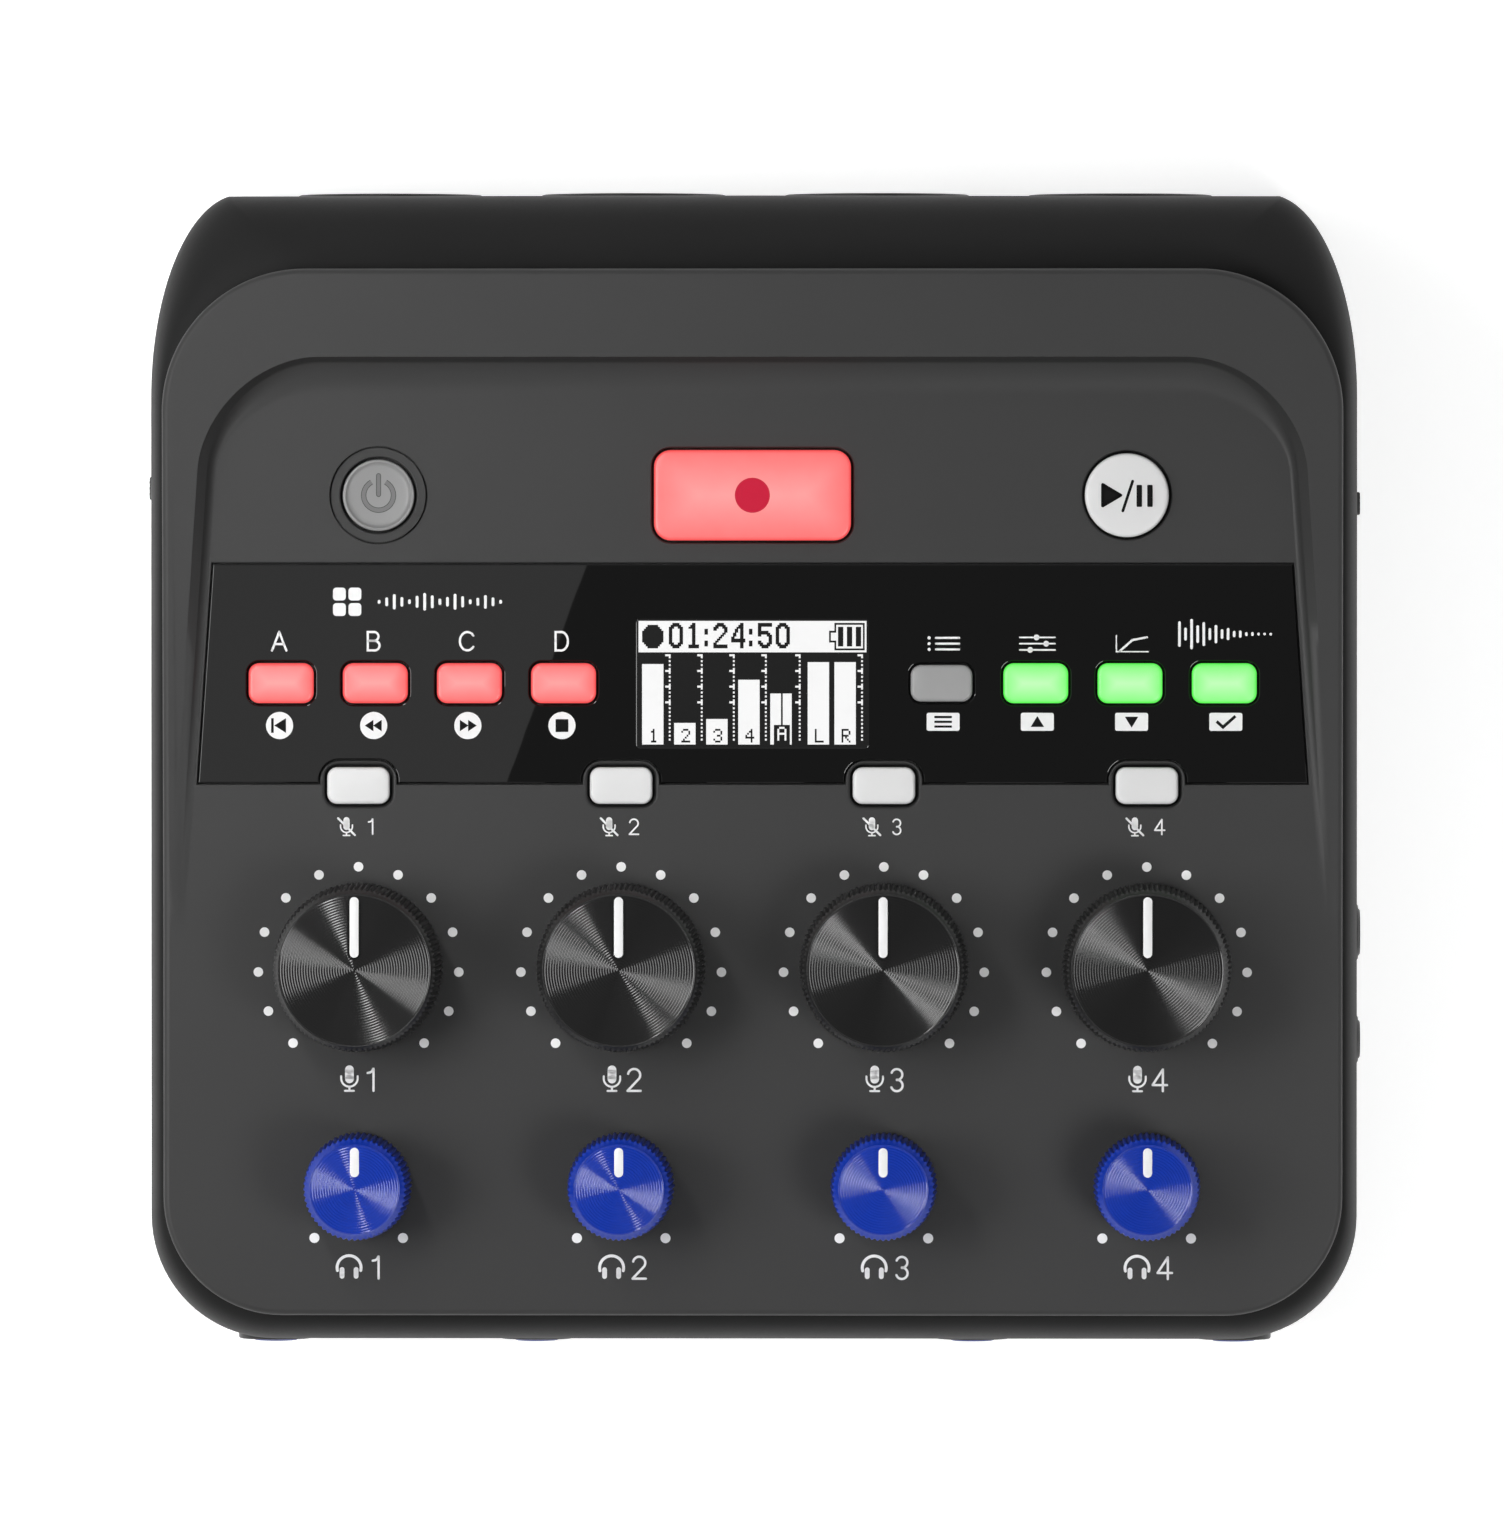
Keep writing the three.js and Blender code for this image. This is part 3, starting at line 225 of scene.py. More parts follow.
class MixerCoverSizes(PropertyGroup):
    """Top cover with its rim and sunk deck."""

    half_width: length("Half width", 73.75, "Half the width of the cover")
    front: length("Front", 68.4, "Distance of the front edge from the deck's middle")
    rear: length("Rear", 62.5, "Distance of the rear edge from the deck's middle")
    front_radius: length("Front radius", 14.8, "Radius of the front corners")
    rear_across: length("Rear across", 17.9, "Width of the rear corners")
    rear_along: length("Rear along", 17.9, "Depth of the rear corners")
    rear_sweep: turn("Rear sweep", 90, "Sweep of the rear corners")
    crown: length("Crown", 0, "How far the rear edge stands back at its middle")
    skirt: length("Skirt", 3, "Height of the cover's edge over the seam")
    seam: length("Seam", 0.3, "Gap between the cover and the case")
    edge_round: length("Edge round", 0.8, "Radius of the rolled outer edge")
    thickness: length("Deck thickness", 2.5, "Thickness of the deck")
    rim_slope: turn("Rim slope", 2.9, "Slope of the rim's plane over the deck")
    rim_run_out: length("Rim run-out", 19.5, "Where the rim meets the deck, in front of the middle")
    rim_rear_width: length("Rim rear width", 11, "Width of the rim at the rear")
    rim_side_width: length("Rim side width", 4.4, "Width of the rim at the sides")
    rim_least: length("Least rise", 0.05, "Height that the rim's face keeps where it runs out")
    rim_edge: length("Rim edge", 0.3, "Radius of the rim's inner edge")
    wall_lean: length("Wall lean", 1.1, "How far the rim's inner wall leans inwards at its foot")
    wall_lean_rear: length("Rear wall lean", 0.5, "The same at the rear wall")
    hollow_side: length("Hollow at the sides", 2.2, "Reach of the hollow under that wall, at the sides")
    hollow_rear: length("Hollow at the rear", 4.6, "Reach of the hollow under that wall, at the rear")
    hollow_share: share("Hollow share", 0.5, "Share of the rim's height that the hollow takes")
    corner_across: length("Corner across", 15.05, "Width of the sunk deck's corners")
    corner_along: length("Corner along", 14.9, "Depth of the sunk deck's corners")
    corner_power: share("Corner power", 1.85, "Fullness of the sunk deck's corners")
    flare: length("Flare", 3.78, "How much wider the sunk deck is where the rim runs out")
    hole_edge: length("Hole edge", 0.22, "Radius of the edges of the openings")
    mute_edge: length("Mute hole edge", 0.45, "Radius of the edges of the mute keys' openings")


class MixerKnobSizes(PropertyGroup):
    """Knobs of both rows."""

    mic_base: length("Large base radius", 10.6, "Radius of a large knob at its foot")
    mic_top: length("Large top radius", 10.15, "Radius of a large knob under its bevel")
    mic_face: length("Large face radius", 9.4, "Radius of the grooved face of a large knob")
    mic_height: length("Large height", 13.7, "Height of a large knob over the deck")
    mic_teeth: count("Large teeth", 96, "Teeth round a large knob")
    phones_base: length("Small base radius", 6.7, "Radius of a small knob at its foot")
    phones_top: length("Small top radius", 6.4, "Radius of a small knob under its bevel")
    phones_face: length("Small face radius", 5.5, "Radius of the grooved face of a small knob")
    phones_height: length("Small height", 13.1, "Height of a small knob over the deck")
    phones_teeth: count("Small teeth", 56, "Teeth round a small knob")
    tooth_depth: length("Tooth depth", 0.3, "Depth of the teeth")
    lift: length("Lift", 0.5, "Gap between a knob and the deck")
    groove_pitch: length("Groove pitch", 0.33, "Distance from groove to groove on the face")
    groove_depth: length("Groove depth", 0.064, "Depth of the grooves on the face")
    pointer_width: length("Pointer width", 1.12, "Width of the white pointer")
    pointer_start: length("Pointer start", 1.55, "Distance of the pointer's inner end from the middle")


class MixerKeySizes(PropertyGroup):
    """Caps of the keys."""

    gap: length("Gap", 0.3, "Gap round a cap")
    overlap: length("Flange overlap", 0.8, "How far the flange reaches under the deck")
    flange: length("Flange thickness", 1.2, "Thickness of the flange")
    edge: length("Edge", 0.45, "Radius of a cap's upper edge")
    crown: length("Crown", 0.12, "How much a cap bulges to its middle")
    # Painted shade: below this depth a cap's side and its flange wear a black finish
    shade: length("Shade", 0.45, "Depth under the deck from which a cap's side is in the dark")
    menu_shy: length("Menu key's shy", 0.2, "How far the menu key's cap stays inside its packed node")
    power_shy: length("Power key's shy", 0.28, "How far the power key's cap stays inside its packed node")
    glow_start: share("Glow start", 0.35, "Share of the full glow at the edge of a lit cap's face")
    record_radius: length("Record corner radius", 2.1, "Corner radius of the record key")
    pad_radius: length("Pad corner radius", 1.3, "Corner radius of the pad keys")
    mute_radius: length("Mute corner radius", 1.25, "Corner radius of the mute keys")
    collar_radius: length("Collar radius", 6.15, "Outer radius of the groove round the power key")
    collar_groove: length("Collar groove", 0.26, "Width of the groove round the power key")
    collar_depth: length("Collar depth", 0.9, "Depth of the groove round the power key")


class MixerWindowSizes(PropertyGroup):
    """Display window and the tabs that notch it."""

    gap: length("Gap", 0.22, "Gap round the window")
    thickness: length("Thickness", 0.9, "Thickness of the window")
    bed: length("Bed", 1.2, "Depth of the window's bed in the deck")
    edge: length("Edge", 0.12, "Radius of the window's upper edge")
    tab_side: length("Tab side margin", 1.1, "Width of a mute tab beside its key")
    tab_rear: length("Tab rear margin", 1, "Depth of a mute tab behind its key")
    tab_radius: length("Tab radius", 2.6, "Radius of a mute tab's corners")
    screen_width: length("Screen width", 29.1, "Width of the screen's glass")
    screen_depth: length("Screen depth", 16.2, "Depth of the screen's glass")
    lit_width: length("Lit width", 28.5, "Width of the field of cells")
    lit_depth: length("Lit depth", 15.7, "Depth of the field of cells")


class MixerSocketSizes(PropertyGroup):
    """Microphone sockets and jacks."""

    ring: length("Ring radius", 11.7, "Outer radius of a microphone socket")
    channel_outer: length("Channel outer radius", 9.6, "Outer radius of the sleeve's channel")
    channel_inner: length("Channel inner radius", 7.95, "Inner radius of the sleeve's channel")
    channel_depth: length("Channel depth", 15, "Depth of the sleeve's channel")
    body_radius: length("Body radius", 10.4, "Radius of the socket behind the wall")
    body_depth: length("Body depth", 22, "Depth of the socket")
    ring_depth: length("Ring depth", 4, "Depth of the outer ring")
    core_set_back: length("Core set-back", 0.8, "How deep the core stands in the ring")
    bevel: length("Bevel", 0.9, "Bevel of the ring's mouth")
    pin_circle: length("Pin circle", 4.75, "Radius of the circle of the contacts")
    pin_radius: length("Pin radius", 1.3, "Radius of a contact hole")
    pin_depth: length("Pin depth", 10, "Depth of a contact hole")
    jack_bore: length("Jack bore", 1.8, "Radius of a mini jack's hole")
    jack_depth: length("Jack depth", 13, "Depth of a mini jack's hole")


class MixerPortSizes(PropertyGroup):
    """Mini jacks, ports and switches in the front and side walls."""

    front_bezel: length("Front bezel radius", 4.7, "Radius of a headphone jack's bezel")
    front_ring: length("Front ring radius", 2.85, "Radius of a headphone jack's blue ring")
    call_bezel: length("Rear side bezel radius", 3.55, "Radius of the bezel of the side jack at the rear")
    call_ring: length("Rear side ring radius", 3, "Radius of the ring of the side jack at the rear")
    line_bezel: length("Front side bezel radius", 3, "Radius of the bezel of the side jack at the front")
    line_ring: length("Front side ring radius", 2.45, "Radius of the ring of the side jack at the front")
    bezel_proud: length("Bezel step", 0.25, "How far a bezel stands out of its wall")
    ring_proud: length("Ring step", 0.25, "How far a ring stands out of its bezel")
    bezel_depth: length("Bezel depth", 3.4, "How deep a bezel reaches into the wall")
    jack_body: length("Jack body", 9.5, "Width and height of a jack's housing")
    usb_width: length("Data port width", 9, "Length of the data port's mouth")
    usb_height: length("Data port height", 3.3, "Height of the data port's mouth")
    usb_shell: length("Data port shell", 0.35, "Thickness of its steel shell")
    usb_depth: length("Data port depth", 7.3, "Depth of its shell")
    usb_tongue: length("Data port tongue", 0.7, "Thickness of its tongue")
    card_width: length("Card slot width", 13.5, "Length of the card slot's frame")
    card_height: length("Card slot height", 4.4, "Height of the card slot's frame")
    card_depth: length("Card slot depth", 14, "Depth of the card slot's frame")
    card_mouth: length("Card mouth width", 11.6, "Length of the card slot's mouth")
    card_gap: length("Card mouth height", 1.4, "Height of the card slot's mouth")
    sunk: length("Port step", 0.35, "How far the two ports stand back in their wall")
    switch_length: length("Switch length", 2.9, "Length of a switch's thumb piece")
    switch_height: length("Switch height", 2.2, "Height of a switch's thumb piece")
    switch_proud: length("Switch step", 0.5, "How far it stands out of its wall")
    switch_travel: length("Switch travel", 3, "How far it slides")
    switch_flange: length("Switch flange", 1.2, "Reach of the flange behind the wall")


class MixerUndersideSizes(PropertyGroup):
    """Battery bay, feet and screws."""

    ledge: length("Ledge", 2.6, "Ledge that the door lies on")
    bay_wall: length("Bay wall", 1.6, "Thickness of the bay's walls and roof")
    gap: length("Gap", 0.3, "Gap round the door, the cells and the feet")
    foot_radius: length("Foot radius", 6, "Radius of a rubber foot")
    foot_sunk: length("Foot seat", 0.7, "Depth of a foot's seat in the case")
    foot_round: length("Foot round", 0.5, "Radius of a foot's lower edge")
    well_radius: length("Screw well radius", 2.8, "Radius of a screw's well")
    well_depth: length("Screw well depth", 1.2, "Depth of a screw's well")
    well_across: length("Screw inset across", 28, "Distance of the screws from the sides")
    well_along: length("Screw inset along", 12, "Distance of the screws from the front and the rear")
    screw_radius: length("Screw radius", 2.2, "Radius of a screw's head")
    grip_width: length("Finger grip width", 14, "Width of the door's finger recess")
    grip_depth: length("Finger grip depth", 5, "Depth of the door's finger recess")


class MixerPrintSizes(PropertyGroup):
    """Dots and signs printed on the deck and the window."""

    ink: length("Ink", 0.03, "How far the ink stands over what carries it")
    root: length("Ink root", 0.1, "How deep a printed body reaches into it")
    dot: length("Large dot radius", 0.6, "Radius of the dots round a large knob")
    dot_circle: length("Large dot circle", 12.56, "Radius of the circle of those dots")
    dot_turn: turn("Dot step", 23.2, "Turn from one dot to the next")
    small_dot: length("Small dot radius", 0.63, "Radius of the dots beside a small knob")
    small_dot_circle: length("Small dot circle", 8.62, "Radius of the circle of those dots")
    dial_end: turn("Dial end", 140, "Turn of the outer dots from the middle")
    digit: FloatProperty(name="Digit height", description="Height of a digit in millimetres", default=3.05)
    letter: FloatProperty(name="Letter height", description="Height of a letter in millimetres", default=2.55)


class MixerColours(PropertyGroup):
    """Colours of the finishes."""

    cover: colour("Cover", "#2e2e2e", "Grey of the top cover")
    case: colour("Case", "#222222", "Black of the lower case")
    window: colour("Window", "#050505", "Tone of the smoked window")
    screen: colour("Screen", "#1a1a1a", "Dark ground of the screen")
    screen_lit: colour("Screen, lit", "#f6f6f6", "Lit cells of the screen")
    knob_black: colour("Large knobs", "#111111", "Black of the large knobs")
    knob_blue: colour("Small knobs", "#0030a4", "Blue of the small knobs")
    knob_slot: colour("Pointer slot", "#0f0f0f", "Black of the slot that a large knob's pointer lies in")
    lamp_red: colour("Red keys", "#ff9c9b", "Middle of a red key")
    lamp_red_edge: colour("Red keys, edge", "#ff4f50", "Edge of a red key")
    lamp_green: colour("Green keys", "#c2ffba", "Middle of a green key")
    lamp_green_edge: colour("Green keys, edge", "#55fb4e", "Edge of a green key")
    key_white: colour("White keys", "#e3e3e3", "White of the play and mute keys")
    key_grey: colour("Grey keys", "#8c8c8c", "Grey of the power key")
    key_pale: colour("Pale grey key", "#9d9d9d", "Grey of the menu key")
    print_white: colour("White print", "#f4f4f4", "White of the signs and dots")
    print_red: colour("Red print", "#cc0f38", "Red dot of the record key")
    print_dark: colour("Dark print", "#0c0c0c", "Dark signs on the play key and on white prints")
    power_floor: colour("Power sign", "#707070", "Engraved sign of the power key")
    # Painted shade: a dark line round the power key's sign, in place of the shade in the engraving's walls
    power_line: colour("Power sign line", "#484848", "Engraved line round the power key's sign")
    socket: colour("Sockets", "#161616", "Black of the sockets and jacks")
    ring_blue: colour("Blue rings", "#1c3a9e", "Blue rings of the headphone jacks")
    gold: colour("Gold", "#d9b45a", "Plating of the contacts")
    steel: colour("Steel", "#b8b8b8", "Plated steel of shells, shafts and screws")
    rubber: colour("Rubber", "#1a1a1a", "Black of the feet")
    board: colour("Board", "#17502e", "Solder resist of the main board")
    cell: colour("Cells", "#6f7378", "Sleeve of the battery cells")


class MixerStageSizes(PropertyGroup):
    """Camera and lights, measured in the deck's frame."""

    camera_x: length("Camera across", 31.1, "Camera's place across the deck")
    camera_y: length("Camera along", 31.75, "Camera's place along the deck")
    camera_height: length("Camera height", 2000, "Camera's height over the deck")
    aim_y: length("Aim", 0.125, "Place along the deck that the camera looks at")
    lens: FloatProperty(name="Lens", description="Focal length of the camera", default=375, unit="CAMERA")
    key_light: share("Key light", 7.7, "Radiance of the soft light at the left")
    near_light: share("Near light", 16, "Radiance of the small soft light over the rear left corner")
    fill_light: share("Fill light", 11, "Radiance of the soft light at the front right")
    ceiling_light: share("Ceiling light", 0.6, "Radiance of the slanted panel over the left half")
    near_turn: turn("Near light's turn", 24, "Turn of the strip over the rear left corner")
    panel_turn: turn("Panel turn", 20.2, "Turn of the ceiling panel's right edge")
    panel_edge: length("Panel edge", -79.7, "Where that edge crosses the deck's middle row")
    sky: share("Sky", 0.2, "Strength of the light from all round")


class MixerSettings(PropertyGroup):
    """All sizes and colours of the mixer."""

    case: PointerProperty(type=MixerCaseSizes)
    cover: PointerProperty(type=MixerCoverSizes)
    knobs: PointerProperty(type=MixerKnobSizes)
    keys: PointerProperty(type=MixerKeySizes)
    window: PointerProperty(type=MixerWindowSizes)
    sockets: PointerProperty(type=MixerSocketSizes)
    ports: PointerProperty(type=MixerPortSizes)
    underside: PointerProperty(type=MixerUndersideSizes)
    prints: PointerProperty(type=MixerPrintSizes)
    colours: PointerProperty(type=MixerColours)
    stage: PointerProperty(type=MixerStageSizes)


def from_deck(points):
    """Points of the deck's frame in the frame of the foot plane: turned by the tilt, then moved."""
    return DECK_ORIGIN + np.asarray(points) @ DECK_TURN.T


def to_deck(points):
    """Points of the foot plane's frame in the deck's: the same move and turn taken back."""
    return (np.asarray(points) - DECK_ORIGIN) @ DECK_TURN


def mesh_points(mesh):
    """Every corner of a mesh."""
    points = np.empty(len(mesh.vertices) * 3)
    mesh.vertices.foreach_get("co", points)
    return points.reshape(-1, 3)


def node_points(name):
    """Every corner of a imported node."""
    return mesh_points(frame["nodes"][name].data)


def deck_box(name):
    """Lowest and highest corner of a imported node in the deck's frame."""
    points = to_deck(node_points(name))
    return points.min(0), points.max(0)


def node_box(name):
    """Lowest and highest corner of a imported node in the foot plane's frame."""
    points = node_points(name)
    return points.min(0), points.max(0)


def wall_place(settings, name, facing):
    """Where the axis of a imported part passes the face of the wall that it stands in."""
    low, high = deck_box(name)
    place = (low + high) / 2
    case = settings.case
    if facing == "rear":
        place[1] = high[1]
    elif facing == "front":
        place[1] = -case.front
    else:
        place[0] = case.half_width if facing == "right" else -case.half_width
    return place


def foot_places():
    """The middles of the four packed feet."""
    boxes = [node_box(f"foot_{row}_{side}") for row in ("front", "rear") for side in ("left", "right")]
    return [tuple(((low + high) / 2)[:2]) for low, high in boxes]


def screw_places(settings):
    """The middles of the four screw wells, inset from the case's edges."""
    case, under = settings.case, settings.underside
    across = case.half_width - under.well_across
    front = under.well_along - case.front
    rear = case.rear - under.well_along
    return [(-across, front), (across, front), (-across, rear), (across, rear)]


class Shape:
    """Points, four-cornered faces, faces with more corners, and each face's finish and each point's glow."""

    def __init__(self, points, quads, caps=(), finish=0, glow=0.0):
        self.points = np.asarray(points, dtype=float).reshape(-1, 3)
        self.quads = np.asarray(quads, dtype=int).reshape(-1, 4)
        self.caps = [np.asarray(cap, dtype=int) for cap in caps]
        self.quad_finish = np.full(len(self.quads), finish)
        self.cap_finish = np.full(len(self.caps), finish)
        self.glow = np.broadcast_to(np.asarray(glow, dtype=float), len(self.points)).copy()

    def __add__(self, other):
        start = len(self.points)
        both = Shape(
            np.vstack([self.points, other.points]),
            np.vstack([self.quads, other.quads + start]),
            self.caps + [cap + start for cap in other.caps],
        )
        both.quad_finish = np.concatenate([self.quad_finish, other.quad_finish])
        both.cap_finish = np.concatenate([self.cap_finish, other.cap_finish])
        both.glow = np.concatenate([self.glow, other.glow])
        return both

    def changed(self, function):
        """The same faces on points worked out from these by a function."""
        copy = Shape(function(self.points), self.quads, self.caps, glow=self.glow)
        copy.quad_finish = self.quad_finish
        copy.cap_finish = self.cap_finish
        return copy

    def moved(self, place):
        """Moved by a place."""
        return self.changed(lambda points: points + np.asarray(place))

    def on_wall(self, facing, place):
        """Turned from +Z to look out of a wall, put at its place in the deck's frame, and placed."""
        return self.changed(lambda points: points @ OUTWARD[facing].T + np.asarray(place)).placed()

    def placed(self):
        """Taken from the deck's frame into the foot plane's."""
        return self.changed(from_deck)


def grid_quads(rows, columns, closed=True):
    """Faces between each row of points and the next; a closed grid joins each row's end to its start."""
    row = np.arange(rows - 1)[:, None] * columns
    here = np.arange(columns if closed else columns - 1)[None, :]
    after = (here + 1) % columns
    return np.stack([row + here, row + after, row + columns + after, row + columns + here], -1).reshape(-1, 4)


def loft(rings, finish=0, glow=0.0):
    """A closed body through rings with equal counts of points, lowest first and counter-clockwise from
    above, with a flat face over its first and last ring."""
    rings = np.asarray(rings, dtype=float)
    rows, columns = rings.shape[:2]
    first = np.arange(columns)[::-1]
    last = np.arange(columns) + (rows - 1) * columns
    glow = np.repeat(np.broadcast_to(glow, rows), columns)
    return Shape(rings.reshape(-1, 3), grid_quads(rows, columns), [first, last], finish, glow)


def joined(shapes):
    """Several shapes as one."""
    first, *others = shapes
    return sum(others, first)


def at_level(outline, level):
    """A flat outline as a ring at one level, or at a level for each of its points."""
    return np.column_stack([outline, np.broadcast_to(level, len(outline))])


def round_steps(radius, steps=EDGE_STEPS):
    """Pairs along a quarter circle: the radius times one less the cosine, and times one less the sine."""
    angles = np.linspace(0, RIGHT_ANGLE, steps + 1)
    return [(radius * (1 - math.cos(angle)), radius * (1 - math.sin(angle))) for angle in angles]


def prism(outline, low, high, finish=0):
    """A straight-sided body over an outline between two levels."""
    return loft([at_level(outline, low), at_level(outline, high)], finish)


def circle(radius, x=0.0, y=0.0, steps=ROUND_STEPS):
    """Points at x plus radius times cosine, y plus radius times sine."""
    angles = np.linspace(0, 2 * math.pi, steps, endpoint=False)
    return np.column_stack([x + radius * np.cos(angles), y + radius * np.sin(angles)])


def rounded_rectangle(width, depth, radius, x=0.0, y=0.0, steps=KEY_CORNER_STEPS):
    """Four quarter circles round the corners of a rectangle, counter-clockwise from the right-hand side."""
    angles = (np.arange(4)[:, None] + np.linspace(0, 1, steps + 1)) * RIGHT_ANGLE
    signs = np.array([[1, 1], [-1, 1], [-1, -1], [1, -1]])
    points_x = x + signs[:, :1] * (width / 2 - radius) + radius * np.cos(angles)
    points_y = y + signs[:, 1:] * (depth / 2 - radius) + radius * np.sin(angles)
    return np.column_stack([points_x.ravel(), points_y.ravel()])


def rounded_block(width, depth, radius, steps, x=0.0, y=0.0):
    """A body over a rounded rectangle, drawn in by an inset at each level."""
    rings = []
    for inset, level in steps:
        outline = rounded_rectangle(width - 2 * inset, depth - 2 * inset, radius - inset, x, y)
        rings.append(at_level(outline, level))
    return loft(rings)


def turned(profile, steps=ROUND_STEPS, finish=0):
    """A profile of radius and level pairs, lowest first, carried round the local Z axis: x is the radius
    times cosine and y the radius times sine of the angle."""
    return loft([at_level(circle(radius, steps=steps), level) for radius, level in profile], finish)


def turned_ring(profile, steps=ROUND_STEPS, finish=0):
    """A closed profile carried round the local Z axis into a ring. The profile runs counter-clockwise,
    with the radius to the right and the level upwards."""
    rings = np.asarray([at_level(circle(radius, steps=steps), level) for radius, level in profile])
    closed = np.concatenate([rings, rings[:1]])
    quads = grid_quads(len(closed), steps) % (len(profile) * steps)
    return Shape(rings.reshape(-1, 3), quads, finish=finish)


def run(radius, level, *steps):
    """Part of a profile: pairs beside a radius and a level, by steps outwards and upwards in
    millimetres."""
    return [(radius + out * MM, level + up * MM) for out, up in steps]


def arc(radius, start, end, x=0.0, y=0.0, steps=24):
    """Points on part of a circle between two angles in degrees."""
    angles = np.radians(np.linspace(start, end, steps + 1))
    return np.column_stack([x + radius * np.cos(angles), y + radius * np.sin(angles)])


def band(path, width):
    """Outline at half a width to each side of an open path: each point moves along the mean of its two
    segments' normals, stretched by one over the cosine of half the bend."""
    path = np.asarray(path, dtype=float)
    steps = np.diff(path, axis=0)
    steps /= np.linalg.norm(steps, axis=1)[:, None]
    before = np.vstack([steps[:1], steps])
    after = np.vstack([steps, steps[-1:]])
    mean = before + after
    mean /= np.linalg.norm(mean, axis=1)[:, None]
    side = np.column_stack([-mean[:, 1], mean[:, 0]]) * (width / 2 / np.sum(mean * after, axis=1))[:, None]
    return np.concatenate([path - side, (path + side)[::-1]])


def stroke(path, width):
    """Outlines of a line of one width with round ends, drawn along a path."""
    path = np.asarray(path, dtype=float)
    return [band(path, width), circle(width / 2, *path[0], 16), circle(width / 2, *path[-1], 16)]


def bars(tops, width, pitch, x, y, middle=False):
    """Outlines of a row of upright bars, that stand on a line or reach as far below it as above."""
    places = x + (np.arange(len(tops)) - (len(tops) - 1) / 2) * pitch
    heights = np.asarray(tops)
    low = y - heights / 2 if middle else np.full(len(tops), y)
    return [
        rounded_rectangle(width, height, width / 2.2, place, bottom + height / 2, 3)
        for place, height, bottom in zip(places, heights, low)
    ]


def shifted(outlines, x, y, size=1.0):
    """Outlines made larger about their middle and moved."""
    return [outline * size + [x, y] for outline in outlines]


def printed(outlines, root, top, finish=0):
    """Flat outlines in millimetres as thin bodies, from a root inside what carries them to the ink's
    face."""
    return joined(prism(outline * MM, root, top, finish) for outline in outlines)


def sign_paths(sign):
    """The strokes of a plain letter or digit one unit tall about its middle: straight runs and arcs of
    circles, whose points are their centre plus the radius times the cosine and sine."""
    flat = np.array([0.72, 1.0])
    paths = {
        "1": [[(-0.16, 0.28), (-0.05, 0.3), (0.02, 0.35), (0.07, 0.45)], [(0.08, 0.45), (0.08, -0.45)]],
        "2": [[*arc(0.25, 168, -38, 0, 0.2), (-0.27, -0.45)], [(-0.27, -0.45), (0.27, -0.45)]],
        "3": [arc(0.225, 160, -90, 0, 0.225), arc(0.235, 90, -160, 0, -0.22)],
        "4": [[(0.13, -0.45), (0.13, 0.44)], [(0.13, 0.44), (-0.29, -0.2)], [(-0.29, -0.2), (0.3, -0.2)]],
        "A": [[(-0.35, -0.46), (0, 0.46)], [(0, 0.46), (0.35, -0.46)], [(-0.23, -0.14), (0.23, -0.14)]],
        "B": [
            [(-0.27, 0.02), (-0.27, 0.45), *arc(0.215, 90, -90, 0.04, 0.235), (-0.27, 0.02)],
            [(-0.27, 0.02), *arc(0.235, 90, -90, 0.07, -0.215), (-0.27, -0.45), (-0.27, 0.02)],
        ],
        "C": [arc(0.45, 38, 322) * [0.82, 1.0]],
        "D": [[(-0.29, 0), (-0.29, 0.45), *(arc(0.45, 90, -90) * flat + [-0.01, 0]), (-0.29, -0.45), (-0.29, 0)]],
    }
    return [np.array(path) for path in paths[sign]]


def sign_outlines(sign, height, x, y, weight=0.095):
    """Outlines of a letter or digit of a height in millimetres, its middle at a place."""
    outlines = [outline for path in sign_paths(sign) for outline in stroke(path, weight)]
    return shifted(outlines, x, y, height)


def tube(path, radius, axis, steps=10):
    """A round wire along a path that winds about an axis: each ring is spanned by the direction across
    both the path and the axis, and the one across that and the path."""
    path = np.asarray(path, dtype=float)
    along = np.gradient(path, axis=0)
    along /= np.linalg.norm(along, axis=1)[:, None]
    out = np.cross(along, axis)
    out /= np.linalg.norm(out, axis=1)[:, None]
    other = np.cross(along, out)
    angles = np.linspace(0, 2 * math.pi, steps, endpoint=False)[None, :, None]
    rings = path[:, None] + radius * (np.cos(angles) * out[:, None] + np.sin(angles) * other[:, None])
    return loft(rings)


def box(low, high, finish=0):
    """A plain block between two corners."""
    (x0, y0, z0), (x1, y1, z1) = low, high
    return prism(np.array([[x0, y0], [x1, y0], [x1, y1], [x0, y1]]), z0, z1, finish)


def mesh_of(shape):
    """A mesh from a shape, with its finishes as material indexes and its glow as a point attribute."""
    mesh = bpy.data.meshes.new("shape")
    mesh.from_pydata(shape.points.tolist(), [], shape.quads.tolist() + [cap.tolist() for cap in shape.caps])
    finishes = np.concatenate([shape.quad_finish, shape.cap_finish]).astype(np.int32)
    mesh.polygons.foreach_set("material_index", finishes)
    attribute = mesh.attributes.new("glow", "FLOAT", "POINT")
    attribute.data.foreach_set("value", shape.glow.astype(np.float32))
    mesh.validate()
    mesh.update()
    return mesh


def new_object(name, data):
    """An object of the scene with its mesh, camera or light."""
    item = bpy.data.objects.new(name, data)
    bpy.context.scene.collection.objects.link(item)
    return item


def worked_out(item):
    """The mesh of an object after its modifiers."""
    graph = bpy.context.evaluated_depsgraph_get()
    return bpy.data.meshes.new_from_object(item.evaluated_get(graph))


